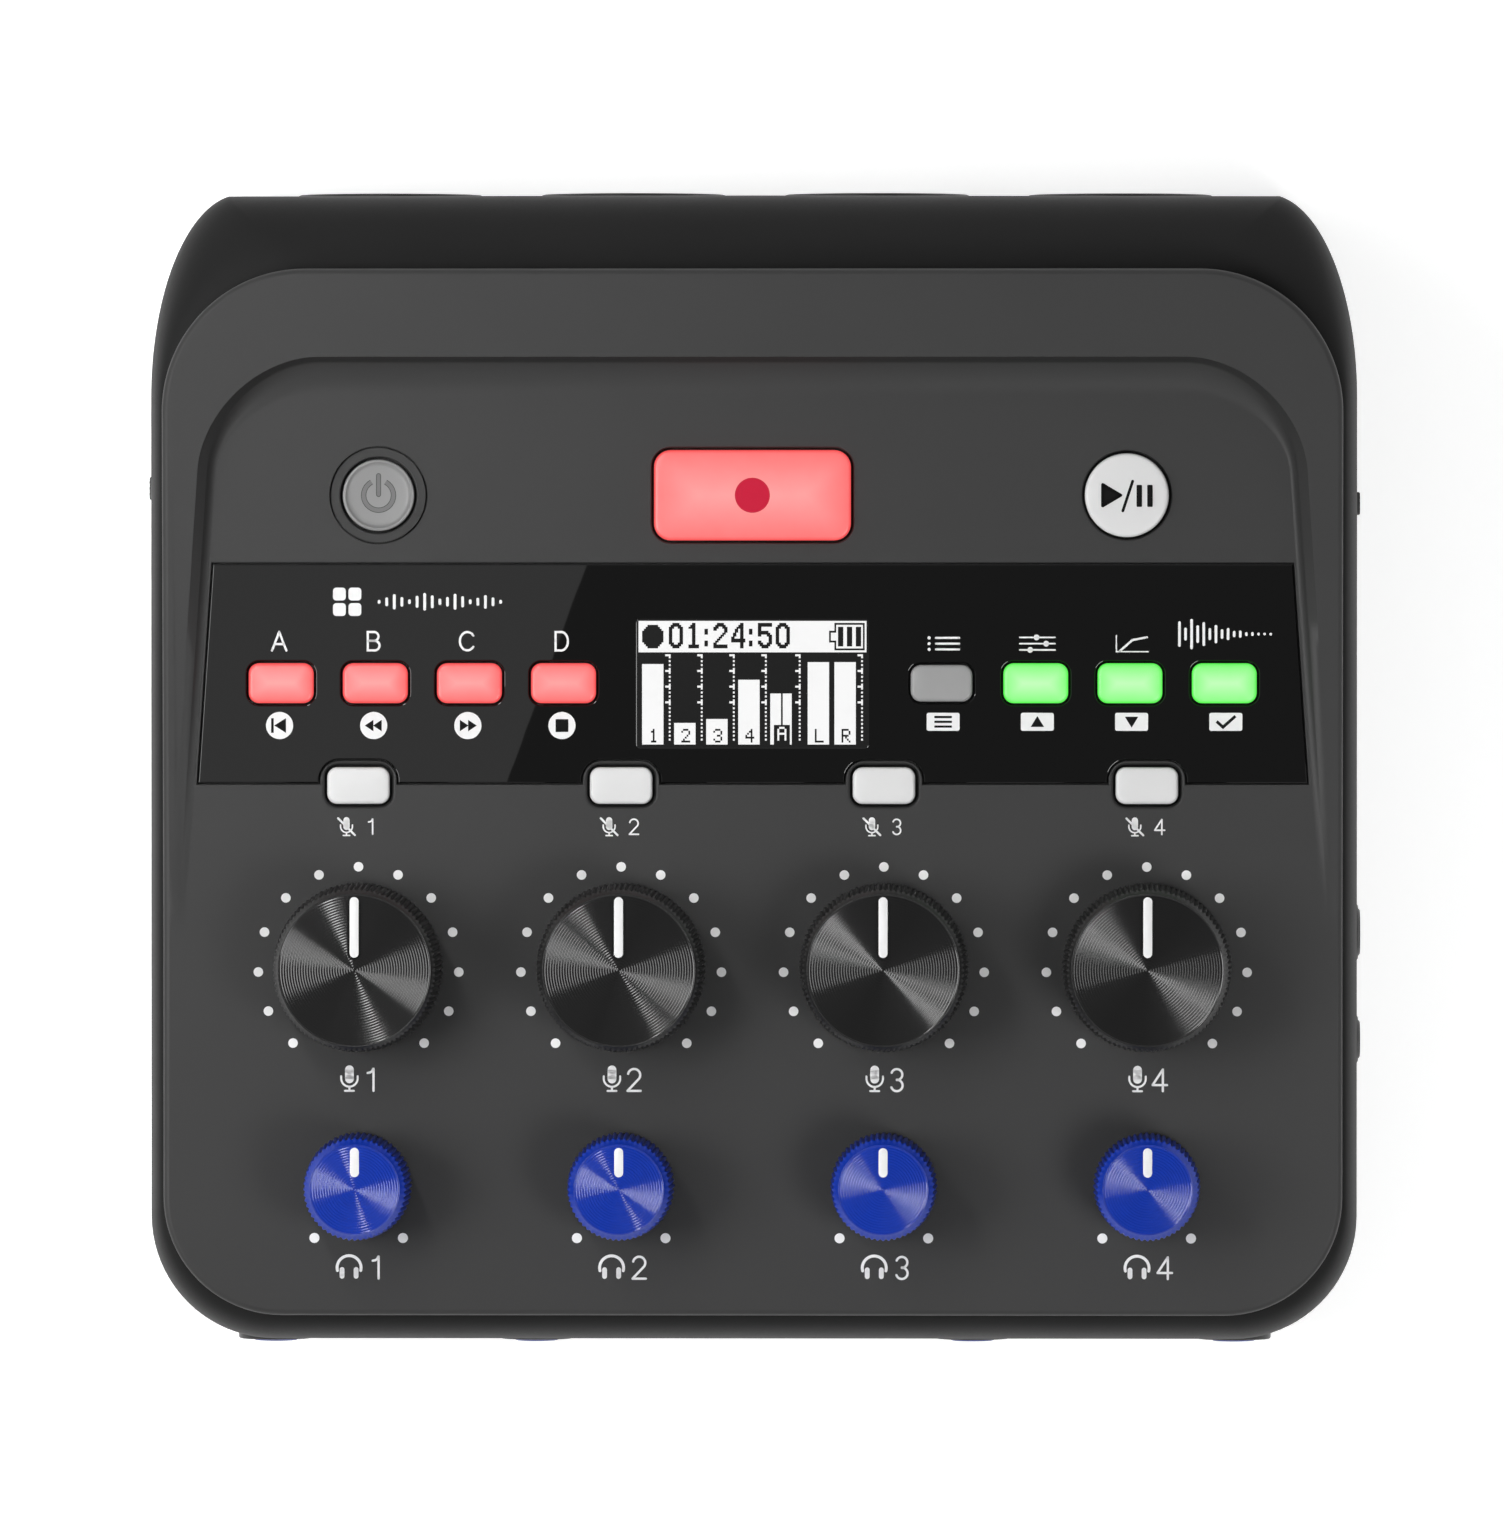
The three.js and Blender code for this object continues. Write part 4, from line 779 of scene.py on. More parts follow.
def carved(base, *steps):
    """A mesh of a solid after each step in turn, which names an operation and the shape or mesh that is
    united with it or taken off it."""
    items = []
    for source in (base, *(tool for _, tool in steps)):
        items.append(new_object("tool", source if isinstance(source, bpy.types.Mesh) else mesh_of(source)))
    for (operation, _), tool in zip(steps, items[1:]):
        modifier = items[0].modifiers.new("carve", "BOOLEAN")
        modifier.operation = operation
        modifier.solver = "MANIFOLD"
        modifier.object = tool
    result = worked_out(items[0])
    for item in items:
        bpy.data.objects.remove(item)
    if not result.polygons:
        raise RuntimeError("a carved solid came out empty")
    return result


def cut(base, *tools):
    """A mesh of a solid after each tool in turn is taken off it."""
    return carved(base, *(("DIFFERENCE", tool) for tool in tools))


def placed_mesh(mesh, facing, place):
    """A mesh made along +Z, turned to look out of a wall of the deck's frame and put at its place."""
    turned_out = Matrix(OUTWARD[facing].tolist()).to_4x4()
    mesh.transform(DECK_STANCE @ Matrix.Translation(Vector(place)) @ turned_out)
    return mesh


def edge_rounded(mesh, width, angle):
    """A mesh whose edges sharper than an angle are rounded off."""
    item = new_object("edge", mesh)
    modifier = item.modifiers.new("round", "BEVEL")
    modifier.width = width
    modifier.segments = 2
    modifier.limit_method = "ANGLE"
    modifier.angle_limit = angle
    modifier.use_clamp_overlap = True
    result = worked_out(item)
    bpy.data.objects.remove(item)
    return result


def finish(name):
    """The material of that name."""
    return bpy.data.materials[name]


def piece(name, source, body, slot, stands_for=(), finishes=(), angle=SHARP_ANGLE, weighted=False):
    """Makes an object of a shape or mesh, gives it the finishes named or else its slot's own, and lets it
    ride on a body."""
    mesh = source if isinstance(source, bpy.types.Mesh) else mesh_of(source)
    mesh.name = name
    marks = np.empty(len(mesh.polygons), dtype=np.int32)
    mesh.polygons.foreach_get("material_index", marks)
    mesh.materials.clear()
    for look in finishes or [FINISH_OF_SLOT[slot]]:
        mesh.materials.append(finish(look))
    mesh.polygons.foreach_set("material_index", marks)
    mesh.shade_smooth()
    mesh.set_sharp_from_angle(angle=angle)
    item = new_object(name, mesh)
    if weighted:
        modifier = item.modifiers.new("weighted normals", "WEIGHTED_NORMAL")
        modifier.keep_sharp = True
    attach(item, body)
    if stands_for:
        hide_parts(*stands_for)
    return item


def piece_of_stage(name, shape):
    """An object that belongs to the studio."""
    item = new_object(name, mesh_of(shape))
    return item


def add_node(tree, kind, settings=None, inputs=None):
    """Adds a node, sets its own settings, and gives each input a value or a link from another's output."""
    node = tree.nodes.new(kind)
    for name, value in (settings or {}).items():
        setattr(node, name, value)
    for name, value in (inputs or {}).items():
        if isinstance(value, bpy.types.NodeSocket):
            tree.links.new(value, node.inputs[name])
        else:
            node.inputs[name].default_value = value
    return node


def new_surface(name, inputs):
    """A material with a Principled shader whose own sockets hold the given constants."""
    material = bpy.data.materials.new(name)
    material.use_nodes = True
    tree = material.node_tree
    shader = tree.nodes["Principled BSDF"]
    for socket, value in inputs.items():
        shader.inputs[socket].default_value = value
    return material, tree, shader


def noise(tree, place, size, detail):
    """A cloudy value whose clouds have a size in millimetres."""
    inputs = {"Vector": place, "Scale": 1 / (size * MM), "Detail": detail}
    return add_node(tree, "ShaderNodeTexNoise", inputs=inputs).outputs["Fac"]


def ranged(tree, value, low, high, start=0.0, end=1.0):
    """A value taken from the range between start and end to the one between low and high."""
    inputs = {"Value": value, "From Min": start, "From Max": end, "To Min": low, "To Max": high}
    return add_node(tree, "ShaderNodeMapRange", inputs=inputs).outputs["Result"]


def scaled(tree, tone, share_of_it):
    """A colour made brighter or darker."""
    inputs = {"Vector": tone, "Scale": share_of_it}
    return add_node(tree, "ShaderNodeVectorMath", {"operation": "SCALE"}, inputs).outputs["Vector"]


def own_place(tree):
    """The place of each point in its object's own frame."""
    return add_node(tree, "ShaderNodeTexCoord").outputs["Object"]


def moulded_plastic(name, tone, roughness, grain=0.35, relief=0.006, mottle=0.06, ior=1.5, gloss=0.5):
    """Moulded plastic: its grain is a noise of the given size in millimetres with a relief in
    millimetres, and its tone wanders a little over centimetres, as flow in the mould leaves it."""
    inputs = {"Roughness": roughness, "IOR": ior, "Specular IOR Level": gloss}
    tree, shader = new_surface(name, inputs)[1:]
    place = own_place(tree)
    tint = ranged(tree, noise(tree, place, FLOW_SIZE, 3.0), 1 - mottle, 1 + mottle, 0.3, 0.7)
    tree.links.new(scaled(tree, list(tone)[:3], tint), shader.inputs["Base Color"])
    spread = min(0.05, 0.2 * roughness)
    spark = noise(tree, place, grain, 2.0)
    rough = ranged(tree, spark, roughness - spread, roughness + spread)
    tree.links.new(rough, shader.inputs["Roughness"])
    inputs = {"Strength": 1.0, "Distance": relief * MM, "Height": spark}
    tree.links.new(add_node(tree, "ShaderNodeBump", inputs=inputs).outputs["Normal"], shader.inputs["Normal"])


def plated_metal(name, tone, roughness, grain):
    """Plated metal: its roughness wanders with a noise stretched along one axis, as rolling and drawing
    leave it, and its tone is a little duller in the same streaks."""
    tree, shader = new_surface(name, {"Metallic": 1.0})[1:]
    inputs = {"Vector": own_place(tree), "Scale": [1.0, DRAWN_OUT, 1.0]}
    drawn = add_node(tree, "ShaderNodeMapping", inputs=inputs).outputs["Vector"]
    streak = noise(tree, drawn, grain, 3.0)
    rough = ranged(tree, streak, roughness - 0.08, roughness + 0.08)
    tree.links.new(rough, shader.inputs["Roughness"])
    shade = scaled(tree, list(tone)[:3], ranged(tree, streak, 1.06, 0.92))
    tree.links.new(shade, shader.inputs["Base Color"])


def lit_plastic(name, middle, edge):
    """Translucent polycarbonate lit from behind: pale over its lamp, deeper in colour towards its edge,
    read from the glow attribute, with a satin surface over it."""
    tree, shader = new_surface(name, {"Roughness": 0.35, "IOR": 1.58, "Emission Strength": 0.8})[1:]
    glow = add_node(tree, "ShaderNodeAttribute", {"attribute_name": "glow"}).outputs["Fac"]
    haze = noise(tree, own_place(tree), HAZE_SIZE, 2.0)
    inputs = {0: haze, 1: HAZE_SHARE, 2: glow}
    spread = add_node(tree, "ShaderNodeMath", {"operation": "MULTIPLY_ADD"}, inputs).outputs["Value"]
    level = ranged(tree, spread, 0.0, 1.0, HAZE_SHARE / 2, 1 + HAZE_SHARE / 2)
    inputs = {"Factor": level, "A": list(edge), "B": list(middle)}
    tone = add_node(tree, "ShaderNodeMix", {"data_type": "RGBA"}, inputs).outputs["Result"]
    tree.links.new(tone, shader.inputs["Emission Color"])
    tree.links.new(scaled(tree, tone, 0.2), shader.inputs["Base Color"])


def body_outline(shape, inset):
    """Outline of the cover or the case, counter-clockwise from the front: quarter circles at the front
    corners, longer elliptical rear corners that the rear face may cut short, and a rear edge that
    stands back a little more at its middle."""
    radius = shape.front_radius - inset
    across = shape.rear_across - inset
    along = shape.rear_along - inset
    low = np.linspace(-RIGHT_ANGLE, 0, FRONT_CORNER_STEPS + 1)
    high = np.linspace(0, shape.rear_sweep, REAR_CORNER_STEPS + 1)
    side = shape.half_width - inset
    x = np.concatenate([side - radius + radius * np.cos(low), side - across + across * np.cos(high)])
    front = radius - (shape.front - inset) + radius * np.sin(low)
    y = np.concatenate([front, shape.rear - shape.rear_along + along * np.sin(high)])
    right = np.column_stack([x, y])
    middle = np.array([[0.0, y[-1] + shape.crown]])
    return np.concatenate([right, middle, right[::-1] * [-1, 1]])


def shoulder_ring(settings, part, inset, level):
    """A ring between the cover's outline and the case's, by share, at a level under the deck."""
    narrow = body_outline(settings.cover, inset)
    wide = body_outline(settings.case, inset)
    return from_deck(at_level(narrow + (wide - narrow) * part, level))


def wall_ring(settings, inset, height):
    """A ring of the case's wall, followed down along the deck's normal to a height over the feet."""
    ring = shoulder_ring(settings, 1, inset, 0)
    return ring + (height - ring[:, 2:]) / DECK_UP[2] * DECK_UP


def case_skin(settings, inset, bottom, above, steps):
    """The case's skin: a flat bottom, a rolled edge that follows a quarter circle, upright walls, and a
    shoulder whose reach falls with the cosine and whose height rises with the sine of one angle."""
    case, cover = settings.case, settings.cover
    seam = -cover.skirt - inset
    rings = []
    for rise, reach in round_steps(case.bottom_round, steps):
        rings.append(wall_ring(settings, inset + reach, bottom + rise))
    for angle in np.linspace(0, RIGHT_ANGLE, 2 * steps + 1):
        level = seam - case.shoulder * (1 - math.sin(angle))
        rings.append(shoulder_ring(settings, math.cos(angle), inset, level))
    if above:
        rings.append(shoulder_ring(settings, 0, inset, -cover.skirt + above))
    return loft(rings)


def rim_rise(cover, y):
    """Height of the rim's plane over the deck: the distance from the run-out line times the slope."""
    return (y + cover.rim_run_out) * math.tan(cover.rim_slope)


def cover_skin(cover, bottom, height_at):
    """The cover's upright skin with a rolled upper edge under a plane given as a height over the deck."""
    rings = [at_level(body_outline(cover, 0), bottom)]
    for inset, drop in round_steps(cover.edge_round):
        outline = body_outline(cover, inset)
        rings.append(at_level(outline, height_at(outline[:, 1]) - drop))
    return loft(rings)


def recess_side_at(cover, y):
    """Half width of the sunk deck at a row in front of its corners, growing evenly to the run-out."""
    corner_row = cover.rear - cover.rim_rear_width - cover.corner_along
    way = cover.flare * (corner_row - y) / (corner_row + cover.rim_run_out)
    return cover.half_width - cover.rim_side_width + way


def recess_outline(cover, side_reach, rear_reach):
    """Outline of the sunk deck at a reach from the rim's edge: corners on a superellipse, whose across
    and along are raised to a power of the cosine and the sine, and sides that flare until they leave
    the cover's own edge."""
    corner_row = cover.rear - cover.rim_rear_width - cover.corner_along
    side = cover.half_width - cover.rim_side_width
    front = -cover.front - OVERRUN
    angles = np.linspace(0, RIGHT_ANGLE, REAR_CORNER_STEPS + 1)
    power = 2 / cover.corner_power
    x = side - cover.corner_across + (cover.corner_across - side_reach) * np.clip(np.cos(angles), 0, 1) ** power
    y = corner_row + (cover.corner_along - rear_reach) * np.sin(angles) ** power
    rows = np.linspace(front, corner_row, 24, endpoint=False)
    sides = recess_side_at(cover, rows) - side_reach
    right = np.column_stack([np.r_[sides, x], np.r_[rows, y]])
    return np.concatenate([right, right[::-1] * [-1, 1]])


def recess_tool(cover):
    """Tool that sinks the deck into the rim. A hollow rises from the deck with the square of the way to
    the wall's foot, and a straight wall leans out to the rim's edge. All heights are shares of the rim's
    own height at that place."""

    def ring(side_reach, rear_reach, part, over=0.0):
        outline = recess_outline(cover, side_reach, rear_reach)
        rise = np.maximum(rim_rise(cover, outline[:, 1]), cover.rim_least)
        return at_level(outline, part * rise + over)

    rings = [at_level(recess_outline(cover, cover.hollow_side, cover.hollow_rear), -cover.edge_round)]
    for way in np.linspace(0, 1, 3 * EDGE_STEPS + 1):
        side_reach = cover.hollow_side + (cover.wall_lean - cover.hollow_side) * way
        rear_reach = cover.hollow_rear + (cover.wall_lean_rear - cover.hollow_rear) * way
        rings.append(ring(side_reach, rear_reach, cover.hollow_share * way**2))
    rings.append(ring(0, 0, 1))
    rings.append(ring(0, 0, 1, OVERRUN))
    return loft(rings)


def rim_mesh(cover, bottom):
    """The raised rim: the skin under the rim's plane, less the sunk deck and all under the seam."""
    root = rim_rise(cover, -cover.front) - cover.edge_round - OVERRUN
    skin = cover_skin(cover, root, lambda y: rim_rise(cover, y))
    under = prism(body_outline(cover, -OVERRUN), root - OVERRUN, bottom)
    rim = cut(skin, recess_tool(cover), under)
    return edge_rounded(rim, cover.rim_edge, RIM_ANGLE)


def opening(outline_at, gap, bottom, edge):
    """Tool for an opening whose upper edge is rounded: straight up to the edge, then out along a
    quarter circle to the deck, then straight up."""
    rings = [at_level(outline_at(gap), bottom)]
    for out, drop in round_steps(edge):
        rings.append(at_level(outline_at(gap + out), -drop))
    rings.append(at_level(outline_at(gap + edge), OVERRUN))
    return loft(rings)


def key_facts(settings):
    """Every key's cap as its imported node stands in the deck's frame: middle, width, depth, corner
    radius and top. Round keys have no width."""
    keys = settings.keys
    radii = {"record_key": keys.record_radius}
    radii.update({name: keys.pad_radius for name in PAD_KEYS + MENU_KEYS})
    radii.update({name: keys.mute_radius for name in MUTE_KEYS})
    shy = {"menu_key": keys.menu_shy, "power_key": keys.power_shy}
    facts = {}
    for name in ALL_KEYS:
        points = to_deck(node_points(name))
        over_flange = points[points[:, 2] > -1 * MM]
        low, high = over_flange.min(0), over_flange.max(0)
        middle = (low + high) / 2
        size = high - low - 2 * shy.get(name, 0)
        facts[name] = {"x": middle[0], "y": middle[1], "width": size[0], "depth": size[1], "top": high[2]}
        facts[name]["radius"] = radii.get(name, size[1] / 2)
        facts[name]["round"] = name in ROUND_KEYS
    return facts


def cap_outline(key, grow):
    """Outline of a key's cap, grown by a clearance or a flange."""
    if key["round"]:
        return circle(key["radius"] + grow, key["x"], key["y"], 64)
    return rounded_rectangle(
        key["width"] + 2 * grow, key["depth"] + 2 * grow, max(key["radius"] + grow, 0.2 * MM), key["x"], key["y"]
    )


def window_outline(settings, grow, steps=12):
    """The window's outline: a trapezium with a round-shouldered notch over each mute key, grown by a
    clearance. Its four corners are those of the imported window."""
    window = settings.window
    keys = key_facts(settings)
    low, high = deck_box("window_panel")
    points = to_deck(node_points("window_panel"))
    rear_half = points[points[:, 1] > high[1] - 0.1 * MM, 0].max()
    slope = (high[0] - rear_half) / (high[1] - low[1])
    front, rear = low[1] - grow, high[1] + grow
    outline = []
    angles = np.linspace(0, RIGHT_ANGLE, steps + 1)
    for name in MUTE_KEYS:
        key = keys[name]
        half = key["width"] / 2 + window.tab_side - grow
        radius = window.tab_radius - grow
        top = key["y"] + key["depth"] / 2 + window.tab_rear - grow
        x = np.r_[-half, radius * (1 - np.cos(angles)) - half]
        y = np.r_[front, top - radius * (1 - np.sin(angles))]
        left = np.column_stack([x, y])
        notch = np.concatenate([left, left[::-1] * [-1, 1]])
        outline.append(notch + [key["x"], 0])
    corners = [
        [high[0] + grow * (1 + slope), front],
        [rear_half + grow * (1 - slope), rear],
        [-rear_half - grow * (1 - slope), rear],
        [-high[0] - grow * (1 + slope), front],
    ]
    return np.concatenate([*outline, corners])


def dial_place(name):
    """Where a dial's axis passes the deck, in the deck's frame."""
    joint = next(joint for joint in frame["joints"] if joint["name"] == f"{name}_turn")
    return to_deck(joint["pos_m"])


class MIXER_OT_finishes(Operator):
    """Makes the materials of every finish"""

    bl_idname = "mixer.finishes"
    bl_label = "Finishes"

    def execute(self, context):
        tones = context.scene.mixer.colours
        # Spark-eroded texture: even, soft sheen, no clear reflection
        moulded_plastic("ABS, grey, fine mould texture", tones.cover, 0.5, mottle=0.03, gloss=0.35)
        # The same texture in black, a little rougher and with a weaker sheen
        moulded_plastic("ABS, black, fine mould texture", tones.case, 0.55, mottle=0.05, gloss=0.12)
        # Cast and polished: a clear reflection over a near-black ground
        moulded_plastic("Acrylic, smoked, polished", tones.window, 0.006, grain=9, relief=0.0004, mottle=0.02, ior=1.49)
        # Under the window: dark glass with a clear, slightly softer reflection
        moulded_plastic("Glass, screen ground", tones.screen, 0.06, grain=9, relief=0.0004, mottle=0.02)
        # Cut with a fine point on a lathe: each groove is bright, and the grooves' slopes fan a lamp out
        # into wedges. The grooves are in the mesh
        moulded_plastic("ABS, black, turned face", tones.knob_black, 0.1, grain=0.5, relief=0.0005)
        moulded_plastic("ABS, blue, turned face", tones.knob_blue, 0.1, grain=0.5, relief=0.0005)
        # As the mould leaves it, round the turned face: satin, dull between the teeth
        moulded_plastic("ABS, black, moulded grip", tones.knob_black, 0.42, relief=0.002)
        moulded_plastic("ABS, blue, moulded grip", tones.knob_blue, 0.36, relief=0.002)
        # Pale caps with a satin skin: a broad soft highlight along the rounded edge
        moulded_plastic("Polycarbonate, white, satin", tones.key_white, 0.35, mottle=0.02, relief=0.002)
        moulded_plastic("Polycarbonate, grey, satin", tones.key_grey, 0.4, mottle=0.02, relief=0.002)
        moulded_plastic("Polycarbonate, pale grey, satin", tones.key_pale, 0.4, mottle=0.02, relief=0.002)
        # Insides of sockets and jacks: near black, a little uneven
        moulded_plastic("Nylon, black, moulded", tones.socket, 0.4, mottle=0.1)
        # Deep blue rings with a smooth moulded edge
        moulded_plastic("ABS, blue ring, moulded", tones.ring_blue, 0.35)
        # Thin ink with a raised edge, duller than what carries it
        moulded_plastic("Ink, white, screen print", tones.print_white, 0.5, mottle=0.02, relief=0.002)
        moulded_plastic("Ink, red, screen print", tones.print_red, 0.5, relief=0.002, gloss=0.2)
        moulded_plastic("Ink, dark, screen print", tones.print_dark, 0.5, relief=0.002, gloss=0.1)
        # The slot that a large knob's pointer lies in: black without grooves
        moulded_plastic("ABS, black, smooth slot", tones.knob_slot, 0.6, relief=0.001, gloss=0.1)
        # Engraved into the power key: its floor is a tone deeper than the face, and the dark outline round it is
        # painted shade of the engraving's walls
        moulded_plastic("Polycarbonate, grey, engraved floor", tones.power_floor, 0.5, relief=0.001)
        moulded_plastic("Polycarbonate, grey, engraved edge with painted shade", tones.power_line, 0.6, relief=0.001, gloss=0.2)
        # Dull and faintly pebbled, so that it grips
        moulded_plastic("Rubber, black, moulded", tones.rubber, 0.85, grain=0.6, relief=0.02)
        # Green lacquer whose tone wanders with the weave under it
        moulded_plastic("Solder resist on fibreglass board", tones.board, 0.35, grain=0.8, relief=0.01, mottle=0.12)
        # Shrunk sleeve: grey, smooth and a little glossy
        moulded_plastic("Vinyl sleeve on steel cell", tones.cell, 0.35)
        # Caps lit from below: pale in the middle, saturated at the edge
        lit_plastic("Polycarbonate, red, lit", tones.lamp_red, tones.lamp_red_edge)
        lit_plastic("Polycarbonate, green, lit", tones.lamp_green, tones.lamp_green_edge)
        # Rows of organic LED cells under glass: an even white that shines by itself
        lit_plastic("Organic LED cells, white, lit", tones.screen_lit, tones.key_grey)
        # Nickel over pressed steel: grey, bright, with faint marks of the rollers
        plated_metal("Steel, pressed, nickel-plated", tones.steel, 0.28, 0.9)
        # Thin gold: warm, brighter and finer in its streaks
        plated_metal("Bronze, sprung, gold-plated", tones.gold, 0.22, 0.6)
        return {"FINISHED"}


class MIXER_OT_stage(Operator):
    """Adds the floor, the lights and the camera"""

    bl_idname = "mixer.stage"
    bl_label = "Studio"

    def execute(self, context):
        settings = context.scene.mixer
        sizes = settings.stage
        scene = context.scene
        scene.view_settings.view_transform = "Standard"
        camera = bpy.data.cameras.new("camera")
        camera.lens = sizes.lens
        camera.sensor_width = 36
        camera.clip_end = 20
        item = new_object("camera", camera)
        scene.camera = item
        place = Vector(from_deck([sizes.camera_x, sizes.camera_y, sizes.camera_height]))
        aim = Vector(from_deck([0, sizes.aim_y, 0]))
        back = (place - aim).normalized()
        right = Vector(DECK_TURN[:, 1]).cross(back).normalized()
        up = back.cross(right)
        item.matrix_world = Matrix.Translation(place) @ Matrix((right, up, back)).transposed().to_4x4()

        world = bpy.data.worlds.new("studio")
        scene.world = world
        world.use_nodes = True
        tree = world.node_tree
        tree.nodes.clear()
        soft = self.glowing(tree, sizes.sky)
        way = add_node(tree, "ShaderNodeTexCoord").outputs["Generated"]
        height = add_node(tree, "ShaderNodeSeparateXYZ", inputs={"Vector": way}).outputs["Z"]
        low, high = BACKDROP
        inputs = {"Value": height, "From Min": low, "From Max": high, "To Min": 1.0, "To Max": CEILING_SHARE}
        backdrop = add_node(tree, "ShaderNodeMapRange", {"interpolation_type": "SMOOTHSTEP"}, inputs)
        white = self.glowing(tree, backdrop.outputs["Result"])
        seen = add_node(tree, "ShaderNodeMixShader", inputs={0: self.shown(tree), 1: soft, 2: white})
        add_node(tree, "ShaderNodeOutputWorld", inputs={"Surface": seen.outputs["Shader"]})

        floor = piece_of_stage("studio_floor", prism(circle(FLOOR_RADIUS, steps=64), -FLOOR_DEPTH, 0))
        material, tree, shader = new_surface("Studio floor, matt paint", {"Roughness": 0.9})
        inputs = {"Vector": own_place(tree), "Scale": 3.0}
        cloud = add_node(tree, "ShaderNodeTexNoise", inputs=inputs).outputs["Fac"]
        tree.links.new(ranged(tree, cloud, *FLOOR_TONES), shader.inputs["Base Color"])
        inputs = {0: self.shown(tree), 1: FLOOR_GLOW}
        light = add_node(tree, "ShaderNodeMath", {"operation": "MULTIPLY"}, inputs).outputs["Value"]
        shader.inputs["Emission Color"].default_value = [1, 1, 1, 1]
        tree.links.new(light, shader.inputs["Emission Strength"])
        floor.data.materials.append(material)

        self.lamp("key_light", sizes.key_light)
        self.lamp("fill_light", sizes.fill_light)
        near = self.lamp("near_light", sizes.near_light)
        flat = Matrix.Rotation(DECK_TILT, 4, "X") @ Matrix.Rotation(sizes.near_turn, 4, "Z")
        near.matrix_world = Matrix.Translation(near.location) @ flat
        panel = self.lamp("ceiling_light", sizes.ceiling_light)
        # Its right edge runs over the line whose reflection slants across the window
        turn = Matrix.Rotation(-sizes.panel_turn, 4, "Z")
        place, size = LAMPS["ceiling_light"]
        edge = Vector((sizes.panel_edge, 0, 0)) + turn @ Vector((-size[0] / 2 * MM, 0, 0))
        over = Matrix.Translation(Vector(from_deck([edge.x, edge.y, place[2] * MM])))
        panel.matrix_world = over @ Matrix.Rotation(DECK_TILT, 4, "X") @ turn
        return {"FINISHED"}

    def glowing(self, tree, strength):
        """White light of a strength from all round."""
        inputs = {"Color": [1, 1, 1, 1], "Strength": strength}
        return add_node(tree, "ShaderNodeBackground", inputs=inputs).outputs["Background"]

    def shown(self, tree):
        """One for the rays that show a backdrop: from the camera, off a glossy surface, through glass."""
        path = add_node(tree, "ShaderNodeLightPath")
        seen = path.outputs["Is Camera Ray"]
        for ray in ("Is Glossy Ray", "Is Transmission Ray"):
            inputs = {0: seen, 1: path.outputs[ray]}
            seen = add_node(tree, "ShaderNodeMath", {"operation": "MAXIMUM"}, inputs).outputs["Value"]
        return seen

    def lamp(self, name, radiance):
        """A soft light at its place over the deck, that looks at the knobs."""
        place, size = LAMPS[name]
        light = bpy.data.lights.new(name, "AREA")
        light.shape = "RECTANGLE"
        light.size, light.size_y = size[0] * MM, size[1] * MM
        light.energy = math.pi * radiance * light.size * light.size_y
        item = new_object(name, light)
        here = Vector(from_deck(np.array(place) * MM))
        item.location = here
        away = here - Vector(from_deck(np.array(LAMP_AIM) * MM))
        item.rotation_euler = away.to_track_quat("Z", "Y").to_euler()
        return item


class MIXER_OT_cover(Operator):
    """Builds the top cover: skin, raised rim, sunk deck and every opening in it"""

    bl_idname = "mixer.cover"
    bl_label = "Top cover"

    def execute(self, context):
        settings = context.scene.mixer
        cover, keys, window = settings.cover, settings.keys, settings.window
        bottom = cover.seam - cover.skirt
        under = -cover.thickness
        wall = settings.case.wall + cover.seam
        inside = body_outline(cover, wall + LIP)
        body = carved(
            cover_skin(cover, bottom, lambda y: 0 * y),
            ("UNION", rim_mesh(cover, bottom)),
            ("DIFFERENCE", prism(inside, bottom - OVERRUN, under)),
        )
        facts = key_facts(settings)
        power = facts["power_key"]
        inner, outer, floor = keys.collar_radius - keys.collar_groove, keys.collar_radius, -keys.collar_depth
        collar = turned_ring([(inner, floor), (outer, floor), (outer, OVERRUN), (inner, OVERRUN)])
        collar = collar.moved([power["x"], power["y"], 0])
        pocket = opening(lambda grow: window_outline(settings, grow), window.gap, -window.bed, POCKET_EDGE)
        on_window = PAD_KEYS + MENU_KEYS
        holes = []
        for name in ALL_KEYS:
            edge = SHARP_EDGE if name in on_window else cover.mute_edge if name in MUTE_KEYS else cover.hole_edge
            holes.append(opening(lambda grow: cap_outline(facts[name], grow), keys.gap, under - OVERRUN, edge))
        for name in [f"{kind}_dial_{channel}" for kind in ("mic", "phones") for channel in CHANNELS]:
            x, y, _ = dial_place(name)
            holes.append(prism(circle(SHAFT_HOLE, x, y, SMALL_STEPS), under - OVERRUN, OVERRUN))
        mesh = cut(body, pocket, collar, joined(holes))
        mesh.transform(DECK_STANCE)
        piece("cover_shell", mesh, "chassis", "cover_grey", ["top_cover"], weighted=True)
        return {"FINISHED"}


